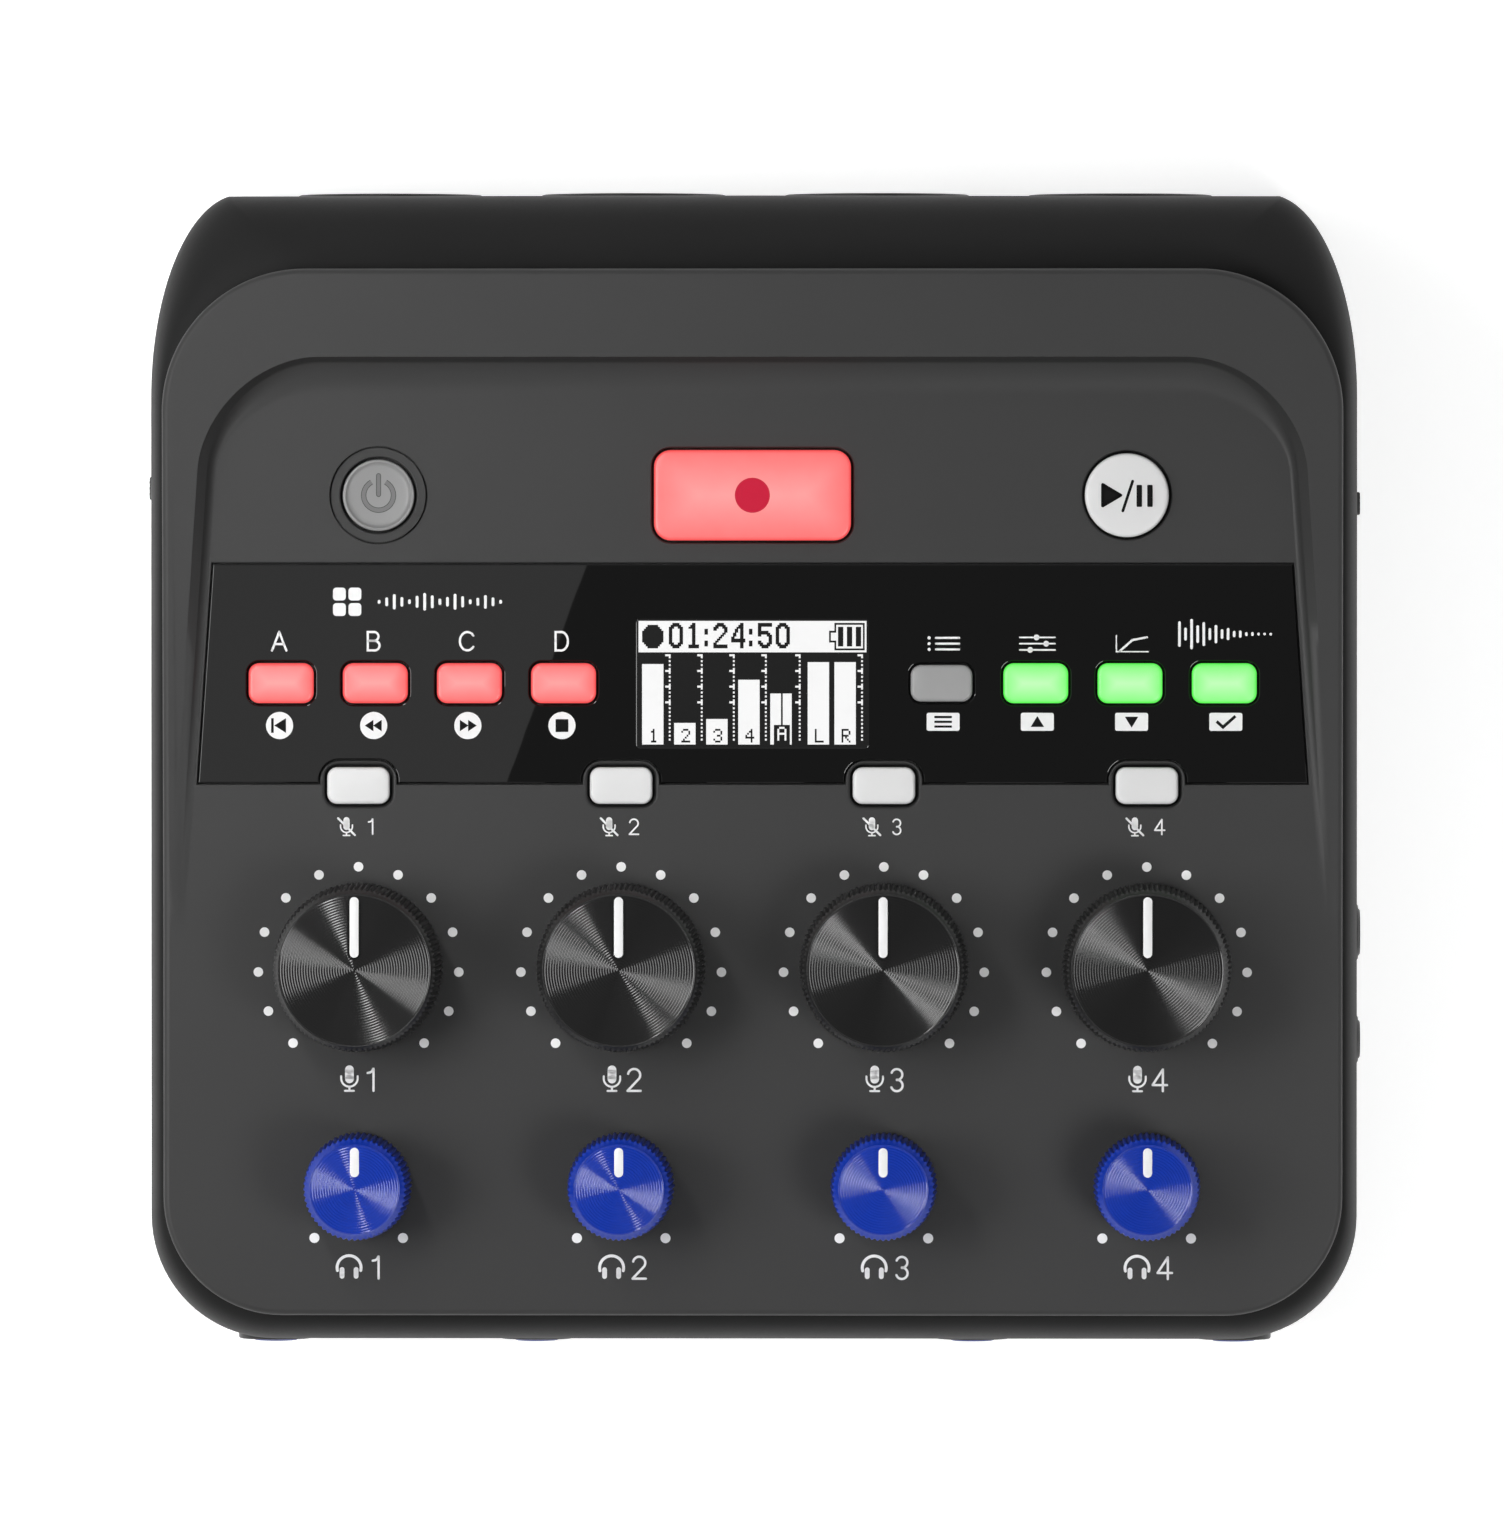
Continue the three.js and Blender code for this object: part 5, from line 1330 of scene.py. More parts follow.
class MIXER_OT_case(Operator):
    """Builds the lower case: domed shoulder, walls, rolled lower edge, bay, seats and openings"""

    bl_idname = "mixer.case"
    bl_label = "Lower case"

    def execute(self, context):
        settings = context.scene.mixer
        case, under = settings.case, settings.underside
        skin = case_skin(settings, 0, case.bottom, 0, 8)
        hollow = case_skin(settings, case.wall, case.bottom + case.floor, OVERRUN, 4)
        door_low, door_high = node_box("battery_door")
        roof = node_box("battery_1")[1][2] + under.gap

        def block(reach, low, high):
            """A block that reaches past the door on every side, between two levels."""
            (x0, y0, _), (x1, y1, _) = door_low, door_high
            return box((x0 - reach, y0 - reach, low), (x1 + reach, y1 + reach, high))

        outside = case.bottom - OVERRUN
        housing = block(under.gap + under.bay_wall, case.bottom, roof + under.bay_wall)
        pocket = block(-under.ledge, outside, roof)
        door_seat = block(under.gap, outside, door_high[2] + under.gap)
        seats = []
        for x, y in foot_places():
            outline = circle(under.foot_radius + under.gap, x, y)
            seats.append(prism(outline, outside, case.bottom + under.foot_sunk + under.gap))
        for x, y in screw_places(settings):
            outline = circle(under.well_radius, x, y, SMALL_STEPS)
            seats.append(prism(outline, outside, case.bottom + under.well_depth))
        body = carved(skin, ("DIFFERENCE", hollow), ("UNION", housing))
        mesh = cut(body, pocket, door_seat, joined(self.openings(settings)), joined(seats))
        piece("case_shell", mesh, "chassis", "case_black", ["lower_case"], weighted=True)
        return {"FINISHED"}

    def openings(self, settings):
        """Tools for the openings in the walls, each from behind the wall to in front of it."""
        case, sockets, ports = settings.case, settings.sockets, settings.ports
        gap = settings.cover.seam
        holes = []

        def hole(name, facing, outline):
            place = wall_place(settings, name, facing)
            holes.append(prism(outline, -3 * case.wall, OVERRUN).on_wall(facing, place))

        for channel in CHANNELS:
            hole(f"mic_socket_{channel}", "rear", circle(sockets.ring + gap))
            hole(f"phones_jack_{channel}", "front", circle(ports.front_bezel + gap, steps=64))
        for name, radius in (("phone_call_jack", ports.call_bezel), ("line_jack", ports.line_bezel)):
            hole(name, "right", circle(radius + gap, steps=64))
        height, width = ports.usb_height + 2 * gap, ports.usb_width + 2 * gap
        hole("usb_port", "left", rounded_rectangle(height, width, ports.usb_height / 2 + 0.99 * gap))
        height, width = ports.card_height + 2 * gap, ports.card_width + 2 * gap
        hole("card_slot", "left", rounded_rectangle(height, width, 0.4 * MM))
        height, travel = ports.switch_height + 2 * gap, ports.switch_travel
        slot = rounded_rectangle(height, ports.switch_length + travel + 2 * gap, 0.3 * MM, 0, -travel / 2)
        for side in ("left", "right"):
            hole(f"slide_switch_{side}", side, slot)
        return holes


class MIXER_OT_window(Operator):
    """Builds the smoked display window with its notches and key openings"""

    bl_idname = "mixer.window"
    bl_label = "Display window"

    def execute(self, context):
        settings = context.scene.mixer
        window, keys = settings.window, settings.keys
        rings = [at_level(window_outline(settings, 0), -window.thickness)]
        for inset, drop in round_steps(window.edge):
            rings.append(at_level(window_outline(settings, -inset), -drop))
        facts = key_facts(settings)
        holes = [
            opening(lambda grow: cap_outline(facts[name], grow), keys.gap, -window.bed - OVERRUN, window.edge)
            for name in PAD_KEYS + MENU_KEYS
        ]
        mesh = cut(loft(rings), joined(holes))
        mesh.transform(DECK_STANCE)
        piece("window_glass", mesh, "chassis", "window_black", ["window_panel"], angle=FINE_ANGLE)
        return {"FINISHED"}


class MIXER_OT_knobs(Operator):
    """Builds the eight knobs: toothed grip, bevel, grooved face and white pointer"""

    bl_idname = "mixer.knobs"
    bl_label = "Knobs"

    def execute(self, context):
        knobs = context.scene.mixer.knobs
        large = (knobs.mic_base, knobs.mic_top, knobs.mic_face, knobs.mic_height, knobs.mic_teeth)
        small = (knobs.phones_base, knobs.phones_top, knobs.phones_face, knobs.phones_height, knobs.phones_teeth)
        for kind, sizes, tone in (("mic", large, "black"), ("phones", small, "blue")):
            skins = [f"ABS, {tone}, moulded grip", f"ABS, {tone}, turned face"]
            face, height = sizes[2:4]
            shape = self.grip(knobs, *sizes) + self.face(knobs, face, height)
            hand = self.pointer(knobs, face, height, 0.0, POINTER_RISES)
            bed = self.pointer(knobs, face, height, SLOT_MARGIN, SLOT_RISES)
            for channel in CHANNELS:
                body = f"{kind}_dial_{channel}"
                place = dial_place(body)
                solid = shape.moved(place).placed()
                nodes = [f"{kind}_knob_{channel}"]
                piece(f"{kind}_grip_{channel}", solid, body, f"knob_{tone}", nodes, skins, GRIP_ANGLE)
                piece(f"{kind}_pointer_{channel}", hand.moved(place).placed(), body, "print_white")
                if kind == "mic":
                    slot = bed.moved(place).placed()
                    piece(f"mic_slot_{channel}", slot, body, "knob_black", finishes=["ABS, black, smooth slot"])
        return {"FINISHED"}

    def grip(self, knobs, base, top, face, height, teeth):
        """Rings from the foot up to the round bevel. Between the teeth the radius falls by the depth times
        a power of half of one less the cosine of the tooth's own angle."""
        angles = np.linspace(0, 2 * math.pi, teeth * TOOTH_STEPS, endpoint=False)
        dip = ((1 - np.cos(teeth * angles)) / 2) ** TOOTH_POWER
        bevel = (top - face) * BEVEL_SHARE
        # Radius, level and share of the teeth's depth
        profile = [
            (base - 0.25 * MM, knobs.lift, 0.6),
            (base, knobs.lift + 0.25 * MM, 1),
            (top, height - bevel - 0.12 * MM, 1),
            (top - 0.1 * MM, height - bevel, 0.35),
            (top - 0.3 * MM, height - bevel + 0.12 * MM, 0),
            (face + 0.12 * MM, height - 0.05 * MM, 0),
            (face, height - 0.1 * MM, 0),
        ]
        rings = []
        for radius, level, depth in profile:
            reach = radius - knobs.tooth_depth * depth * dip
            rings.append(np.column_stack([reach * np.cos(angles), reach * np.sin(angles), 0 * angles + level]))
        return loft(rings)

    def face(self, knobs, radius, height):
        """A plate whose level falls and rises with the cosine of the distance from its rim, once for
        each groove."""
        reaches = np.arange(radius - 0.02 * MM, 0.1 * MM, -knobs.groove_pitch / GROOVE_STEPS)
        waves = (1 - np.cos(2 * math.pi * (radius - reaches) / knobs.groove_pitch)) / 2
        levels = height - knobs.groove_depth * waves
        floor = height - 0.4 * MM
        profile = [(radius - 0.02 * MM, floor), *zip(reaches, levels)]
        return turned(profile, FACE_STEPS, 1)

    def pointer(self, knobs, face, height, grow, rises):
        """A bar with round ends, from near the middle to near the face's edge, that may be grown into
        the slot it lies in, and stands proud by two rises in millimetres, at its side and its face."""
        start = knobs.pointer_start
        end = face - 0.3 * MM
        width = knobs.pointer_width + 2 * grow
        reach, middle = end - start + grow, (start + end - grow) / 2
        rings = []
        for inset, level in ((0, -0.3), (0, rises[0]), (0.06 * MM, rises[1])):
            radius = (width / 2 - inset) * 0.999
            outline = rounded_rectangle(width - 2 * inset, reach - 2 * inset, radius, 0, middle)
            rings.append(at_level(outline, height + level * MM))
        return loft(rings)


class MIXER_OT_keys(Operator):
    """Builds every key's cap with its flange, rounded edge and slight crown"""

    bl_idname = "mixer.keys"
    bl_label = "Keys"

    # The power key's rim and dish, as steps from its side and its top
    DISH = [(0, -0.2), (-0.06, -0.06), (-0.2, 0), (-0.35, -0.02), (-0.47, -0.15), (-0.6, -0.33)]
    DISH += [(-0.8, -0.42), (-1.1, -0.45)]

    def execute(self, context):
        settings = context.scene.mixer
        keys = settings.keys
        facts = key_facts(settings)
        slots = dict.fromkeys(["record_key", *PAD_KEYS], "lamp_red")
        slots.update(dict.fromkeys(MENU_KEYS[1:], "lamp_green"))
        slots.update(dict.fromkeys(["play_key", *MUTE_KEYS], "key_white"))
        for name, key in facts.items():
            slot = slots.get(name, "key_grey")
            look = "Polycarbonate, pale grey, satin" if name == "menu_key" else FINISH_OF_SLOT[slot]
            shape = self.dished(settings, key) if name == "power_key" else self.cap(settings, key)
            # Painted shade: the flange and the foot of the sides, which lie in the dark under the deck, wear the
            # sockets' black nylon finish in place of the cap's own
            shape.quad_finish[shape.points[shape.quads, 2].max(axis=1) <= -keys.shade] = 1
            piece(f"{name}_cap", shape.placed(), name, slot, [name], [look, FINISH_OF_SLOT["socket_black"]])
        return {"FINISHED"}

    def cap(self, settings, key):
        """Rings of the cap's outline: flange, upright side, an edge on a quarter circle, then inwards
        with a crown that rises as one less the square of the share of the way left to the middle. The
        glow grows evenly over the rounded edge, and then more slowly to the middle."""
        keys = settings.keys
        flange_top = -settings.cover.thickness - keys.gap
        rings = [
            at_level(cap_outline(key, keys.overlap), flange_top - keys.flange),
            at_level(cap_outline(key, keys.overlap), flange_top),
            at_level(cap_outline(key, 0), flange_top),
            at_level(cap_outline(key, 0), -keys.shade),
        ]
        glow = [0.0, 0.0, 0.0, 0.0]
        face = key["top"] - keys.crown
        for inset, drop in round_steps(keys.edge):
            rings.append(at_level(cap_outline(key, -inset), face - drop))
            glow.append(keys.glow_start * inset / keys.edge)
        reach = min(key["depth"], 2 * key["radius"] if key["round"] else key["depth"]) / 2
        for part in np.linspace(0.08, 0.96, 14):
            inset = keys.edge + (reach - keys.edge) * part
            level = face + keys.crown * (1 - (1 - part) ** 2)
            rings.append(at_level(self.inner(key, inset), level))
            glow.append(keys.glow_start + (1 - keys.glow_start) * part)
        return loft(rings, glow=glow)

    def inner(self, key, inset):
        """Outline of the cap at an inset that may be larger than its corner radius."""
        if key["round"]:
            return circle(key["radius"] - inset, key["x"], key["y"], 64)
        radius = max(key["radius"] - inset, 0.35 * (key["depth"] / 2 - inset))
        return rounded_rectangle(key["width"] - 2 * inset, key["depth"] - 2 * inset, radius, key["x"], key["y"])

    def dished(self, settings, key):
        """A round cap with a rounded rim and a shallow dish inside it."""
        keys = settings.keys
        flange_top = -settings.cover.thickness - keys.gap
        radius, top = key["radius"], key["top"]
        profile = [
            (radius + keys.overlap, flange_top - keys.flange),
            (radius + keys.overlap, flange_top),
            (radius, flange_top),
            (radius, -keys.shade),
            *run(radius, top, *self.DISH),
            (0.2 * MM, top - 0.45 * MM),
        ]
        return turned(profile).moved([key["x"], key["y"], 0])


class MIXER_OT_sockets(Operator):
    """Builds the four microphone sockets"""

    bl_idname = "mixer.sockets"
    bl_label = "Microphone sockets"

    def execute(self, context):
        settings = context.scene.mixer
        sizes = settings.sockets
        outer, inner, core = sizes.channel_outer, sizes.channel_inner, -sizes.core_set_back
        profile = [
            (sizes.body_radius, -sizes.body_depth),
            (sizes.body_radius, -sizes.ring_depth),
            (sizes.ring, -sizes.ring_depth),
            *run(sizes.ring, 0, (0, -0.3), (-0.09, -0.09), (-0.3, 0)),
            (outer + sizes.bevel, 0),
            (outer + 0.2 * MM, -0.7 * MM),
            (outer, -sizes.bevel),
            (outer, -sizes.channel_depth),
            (inner, -sizes.channel_depth),
            *run(inner, core, (0, -0.3), (-0.3, 0)),
            (0.2 * MM, core),
        ]
        holes = []
        for angle in np.radians([30, 150, 270]):
            x, y = sizes.pin_circle * math.cos(angle), sizes.pin_circle * math.sin(angle)
            holes.append(prism(circle(sizes.pin_radius, x, y, SMALL_STEPS), -sizes.pin_depth, OVERRUN))
        for channel in CHANNELS:
            node = f"mic_socket_{channel}"
            low, high = deck_box(node)
            place = [(low[0] + high[0]) / 2, high[1], (low[2] + high[2]) / 2]
            pins = joined(holes).on_wall("rear", place)
            body = cut(turned(profile).on_wall("rear", place), pins)
            piece(f"mic_inlet_{channel}", body, "chassis", "socket_black", [node])
        return {"FINISHED"}


class MIXER_OT_ports(Operator):
    """Builds the mini jacks with their rings, the data port, the card slot and the slide switches"""

    bl_idname = "mixer.ports"
    bl_label = "Ports"

    def execute(self, context):
        settings = context.scene.mixer
        ports = settings.ports
        for channel in CHANNELS:
            names = f"phones_inlet_{channel}", f"phones_jack_{channel}"
            self.jack(settings, *names, "front", ports.front_bezel, ports.front_ring, "ring_blue")
        for name, node, bezel, ring in (
            ("call_inlet", "phone_call_jack", ports.call_bezel, ports.call_ring),
            ("line_inlet", "line_jack", ports.line_bezel, ports.line_ring),
        ):
            self.jack(settings, name, node, "right", bezel, ring, "socket_black")
        self.data_port(settings)
        self.card_slot(settings)
        for side in ("left", "right"):
            self.switch(settings, side)
        return {"FINISHED"}

    def jack(self, settings, name, node, facing, bezel, ring, ring_slot):
        """A turned bezel with a rolled edge and a housing behind it, a turned ring in it, and a gold
        contact spring deep in the bore."""
        ports, bore = settings.ports, settings.sockets.jack_bore
        place = wall_place(settings, node, facing)
        step, out = ports.bezel_proud, ports.bezel_proud + ports.ring_proud
        back = -ports.bezel_depth
        barrel = [
            *run(bore, back, (0, -0.2)),
            *run(bezel, back, (0, -0.2)),
            *run(bezel, step, (0, -0.25), (-0.07, -0.07), (-0.25, 0)),
            *run(ring, step, (0.12, 0), (0.04, -0.1), (-0.1, -0.15)),
            *run(bore, step, (0, -0.15)),
        ]
        collar = [
            (bore, -1.2 * MM),
            (ring, -1.2 * MM),
            *run(ring, out, (0, -0.3), (-0.09, -0.09), (-0.3, 0)),
            *run(bore, out, (0.35, 0), (0.1, -0.1), (0, -0.35)),
        ]
        # The contact spring bows into the bore between its two ends
        contact = run(bore, 0, (-0.12, -6), (0.1, -6), (0.1, -4.4), (-0.12, -4.4), (-0.28, -5.2))
        hole = prism(circle(bore, steps=SMALL_STEPS), -settings.sockets.jack_depth, OVERRUN)
        outline = rounded_rectangle(ports.jack_body, ports.jack_body, 0.6 * MM)
        housing = cut(prism(outline, back - JACK_HOUSING, back), hole)
        solid = turned_ring(barrel, 64).on_wall(facing, place)
        body = carved(solid, ("UNION", placed_mesh(housing, facing, place)))
        piece(name, body, "chassis", "socket_black", [node])
        piece(f"{name}_ring", turned_ring(collar, 64).on_wall(facing, place), "chassis", ring_slot)
        spring = turned_ring(contact, SMALL_STEPS).on_wall(facing, place)
        piece(f"{name}_contact", spring, "chassis", "contact_gold")

    def data_port(self, settings):
        """A racetrack shell of pressed steel with a rolled lip, closed at its back, round a tongue that
        carries a row of gold contacts on each face."""
        ports = settings.ports
        place = wall_place(settings, "usb_port", "left") + [ports.sunk, 0, 0]
        wall, depth, lip = ports.usb_shell, ports.usb_depth, -0.12 * MM
        rings = []
        for grow, level in (
            (0, -depth),
            (0, lip),
            (-0.1 * MM, 0),
            (0.06 * MM - wall, 0),
            (-wall, lip),
            (-wall, wall - depth),
        ):
            height, width = ports.usb_height + 2 * grow, ports.usb_width + 2 * grow
            rings.append(at_level(rounded_rectangle(height, width, 0.499 * height, steps=12), level))
        thick, reach = ports.usb_tongue / 2, ports.usb_width / 2 - wall - 0.8 * MM
        blade = prism(rounded_rectangle(2 * thick, 2 * reach, 0.15 * MM), -depth, -wall)
        rows = np.linspace(-0.82, 0.82, 12) * reach
        faces = [
            box(
                (side * thick - 0.03 * MM, row - 0.12 * MM, -5.2 * MM),
                (side * thick + 0.03 * MM, row + 0.12 * MM, -0.9 * MM),
            )
            for side in (-1, 1)
            for row in rows
        ]
        piece("data_port_shell", loft(rings).on_wall("left", place), "chassis", "steel", ["usb_port"])
        piece("data_port_tongue", blade.on_wall("left", place), "chassis", "socket_black")
        piece("data_port_contacts", joined(faces).on_wall("left", place), "chassis", "contact_gold")

    def card_slot(self, settings):
        """A moulded frame with a bevelled mouth, and gold contacts at the back of the mouth."""
        ports = settings.ports
        place = wall_place(settings, "card_slot", "left") + [ports.sunk, 0, 0]
        whole = prism(rounded_rectangle(ports.card_height, ports.card_width, 0.3 * MM), -ports.card_depth, 0)
        high, wide = ports.card_gap, ports.card_mouth
        inside = rounded_rectangle(high, wide, 0.1 * MM)
        edge = rounded_rectangle(high + 1.2 * MM, wide + 1.2 * MM, 0.3 * MM)
        back = -11 * MM
        steps = ((inside, back), (inside, -0.6 * MM), (edge, 0), (edge, OVERRUN))
        mouth = loft([at_level(outline, level) for outline, level in steps])
        notch = prism(rounded_rectangle(high + 0.9 * MM, 5 * MM, 0.4 * MM), -1.6 * MM, OVERRUN)
        body = cut(whole, mouth, notch)
        piece("card_slot_frame", placed_mesh(body, "left", place), "chassis", "socket_black", ["card_slot"])
        under, over = -high / 2 - 0.02 * MM, -high / 2 + 0.12 * MM
        contacts = [
            box((under, row - 0.3 * MM, back), (over, row + 0.3 * MM, -6.5 * MM))
            for row in np.linspace(-0.4, 0.4, 8) * wide
        ]
        piece("card_slot_contacts", joined(contacts).on_wall("left", place), "chassis", "contact_gold")

    def switch(self, settings, side):
        """A thumb piece with rounded edges and three ridges, on a flange behind the wall."""
        ports = settings.ports
        node = f"slide_switch_{side}"
        inner = -settings.case.wall - settings.cover.seam
        high, long, top = ports.switch_height, ports.switch_length, ports.switch_proud
        rings = []
        for less, radius, level in (
            (0, 0.25, inner - 1 * MM),
            (0, 0.25, top - 0.22 * MM),
            (0.13 * MM, 0.22, top - 0.06 * MM),
            (0.44 * MM, 0.2, top - 0.02 * MM),
        ):
            rings.append(at_level(rounded_rectangle(high - less, long - less, radius * MM), level))
        reach = ports.switch_travel + ports.switch_flange
        plate = rounded_rectangle(high + 2 * ports.switch_flange, long + 2 * reach, 0.3 * MM)
        ridges = [
            prism(rounded_rectangle(high - 0.5 * MM, 0.3 * MM, 0.14 * MM, 0, row * MM), top - 0.2 * MM, top)
            for row in (-0.75, 0, 0.75)
        ]
        thumb = joined([loft(rings), prism(plate, inner - 1 * MM, inner), *ridges])
        place = wall_place(settings, node, side)
        piece(f"switch_thumb_{side}", thumb.on_wall(side, place), node, "socket_black", [node])


class MIXER_OT_screen(Operator):
    """Builds the screen's pane and its lit cells: a recording timer, a battery sign and level bars"""

    bl_idname = "mixer.screen"
    bl_label = "Screen"

    COLUMNS, ROWS = 128, 64
    LARGE = {
        "0": (60, 126, 231, 195, 195, 195, 195, 195, 195, 195, 231, 126, 60),
        "1": (24, 56, 120, 24, 24, 24, 24, 24, 24, 24, 24, 126, 126),
        "2": (60, 126, 231, 195, 3, 6, 12, 24, 48, 96, 192, 255, 255),
        "4": (6, 14, 30, 54, 54, 102, 102, 198, 255, 255, 6, 6, 6),
        "5": (255, 255, 192, 192, 252, 254, 199, 3, 3, 195, 231, 126, 60),
    }
    SMALL = {
        "1": (4, 12, 4, 4, 4, 4, 14),
        "2": (14, 17, 1, 2, 4, 8, 31),
        "3": (14, 17, 1, 6, 1, 17, 14),
        "4": (2, 6, 10, 18, 31, 2, 2),
        "A": (14, 17, 17, 31, 17, 17, 17),
        "L": (16, 16, 16, 16, 16, 16, 31),
        "R": (30, 17, 17, 30, 20, 18, 17),
    }

    def execute(self, context):
        settings = context.scene.mixer
        window = settings.window
        low, high = deck_box("display_module")
        middle = (low[1] + high[1]) / 2 - 0.06 * MM
        steps = ((0, -0.5 * MM), (0, 0.005 * MM), (0.08 * MM, 0.03 * MM))
        pane = rounded_block(window.screen_width, window.screen_depth, 0.5 * MM, steps, 0, middle)
        piece("screen_pane", pane.placed(), "chassis", "display_dark", angle=FINE_ANGLE)
        cells = self.cells()
        width, depth = window.lit_width / self.COLUMNS, window.lit_depth / self.ROWS
        edges = np.diff(np.pad(cells, ((0, 0), (1, 1))).astype(int), axis=1)
        rows, starts = np.nonzero(edges == 1)
        ends = np.nonzero(edges == -1)[1]
        left = starts * width - window.lit_width / 2
        right = ends * width - window.lit_width / 2
        top = middle + window.lit_depth / 2 - rows * depth
        shape = self.blocks(left, right, top - depth, top, -0.1 * MM, 0.045 * MM)
        shape.glow[:] = 1
        piece("screen_cells", shape.placed(), "chassis", "display_lit")
        return {"FINISHED"}

    def blocks(self, x0, x1, y0, y1, low, high):
        """Many blocks at once: the eight corners of each, and its six faces."""
        rounds = [(x, y, np.full(len(x0), z)) for z in (low, high) for x, y in ((x0, y0), (x1, y0), (x1, y1), (x0, y1))]
        corners = np.stack([np.column_stack(sides) for sides in rounds], axis=1)
        faces = np.array([[3, 2, 1, 0], [4, 5, 6, 7], [0, 1, 5, 4], [1, 2, 6, 5], [2, 3, 7, 6], [3, 0, 4, 7]])
        quads = faces[None] + 8 * np.arange(len(x0))[:, None, None]
        return Shape(corners.reshape(-1, 3), quads.reshape(-1, 4))

    def sign(self, rows, width):
        """A small sign as true and false cells, from one whole number for each row."""
        return (np.array(rows)[:, None] >> np.arange(width)[::-1]) & 1 == 1

    def cells(self):
        """Which cells are lit: a white header with dark signs, and white bars with dark letters."""
        lit = np.zeros((self.ROWS, self.COLUMNS), dtype=bool)
        row, column = np.mgrid[: self.ROWS, : self.COLUMNS]
        # The header, with a round sign and the timer's digits
        lit[:16] = True
        lit[(row - 7.5) ** 2 + (column - 7.5) ** 2 < 38] = False
        place = 17
        for sign in "01:24:50":
            if sign == ":":
                lit[4:7, place : place + 2] = False
                lit[10:13, place : place + 2] = False
                place += 5
            else:
                lit[1:14, place : place + 8] = ~self.sign(self.LARGE[sign], 8)
                place += 10
        # The battery sign: a dark case with a nub, its lit inside, and three dark bars
        lit[1:15, 110:127] = False
        lit[5:11, 107:110] = False
        lit[2:14, 111:126] = True
        lit[6:10, 108:111] = True
        for start in (112, 117, 122):
            lit[3:13, start : start + 3] = False
        # The level bars: their first column and their top row, with a letter near the foot of each
        levels = {"1": (2, 22), "2": (20, 52), "3": (38, 50), "4": (56, 30)}
        levels.update({"A": (74, 37), "L": (95, 21), "R": (110, 21)})
        for name, (start, top) in levels.items():
            lit[top:, start : start + 12] = True
            lit[55:62, start + 4 : start + 9] = ~self.sign(self.SMALL[name], 5)
        # A seam in the fourth bar, and its letter set dark in a frame
        lit[37:53, 80] = False
        lit[53:63, 76:85] = False
        lit[54:61, 78:83] = self.sign(self.SMALL["A"], 5)
        lit[63, :] = False
        # Dotted scales beside the bars, with four ticks on each
        for start in (17, 35, 53, 71, 90, 125):
            lit[18:62:2, start] = True
            for tick in (17, 25, 33, 41):
                lit[tick, start - 2 : start + 1] = True
        return lit


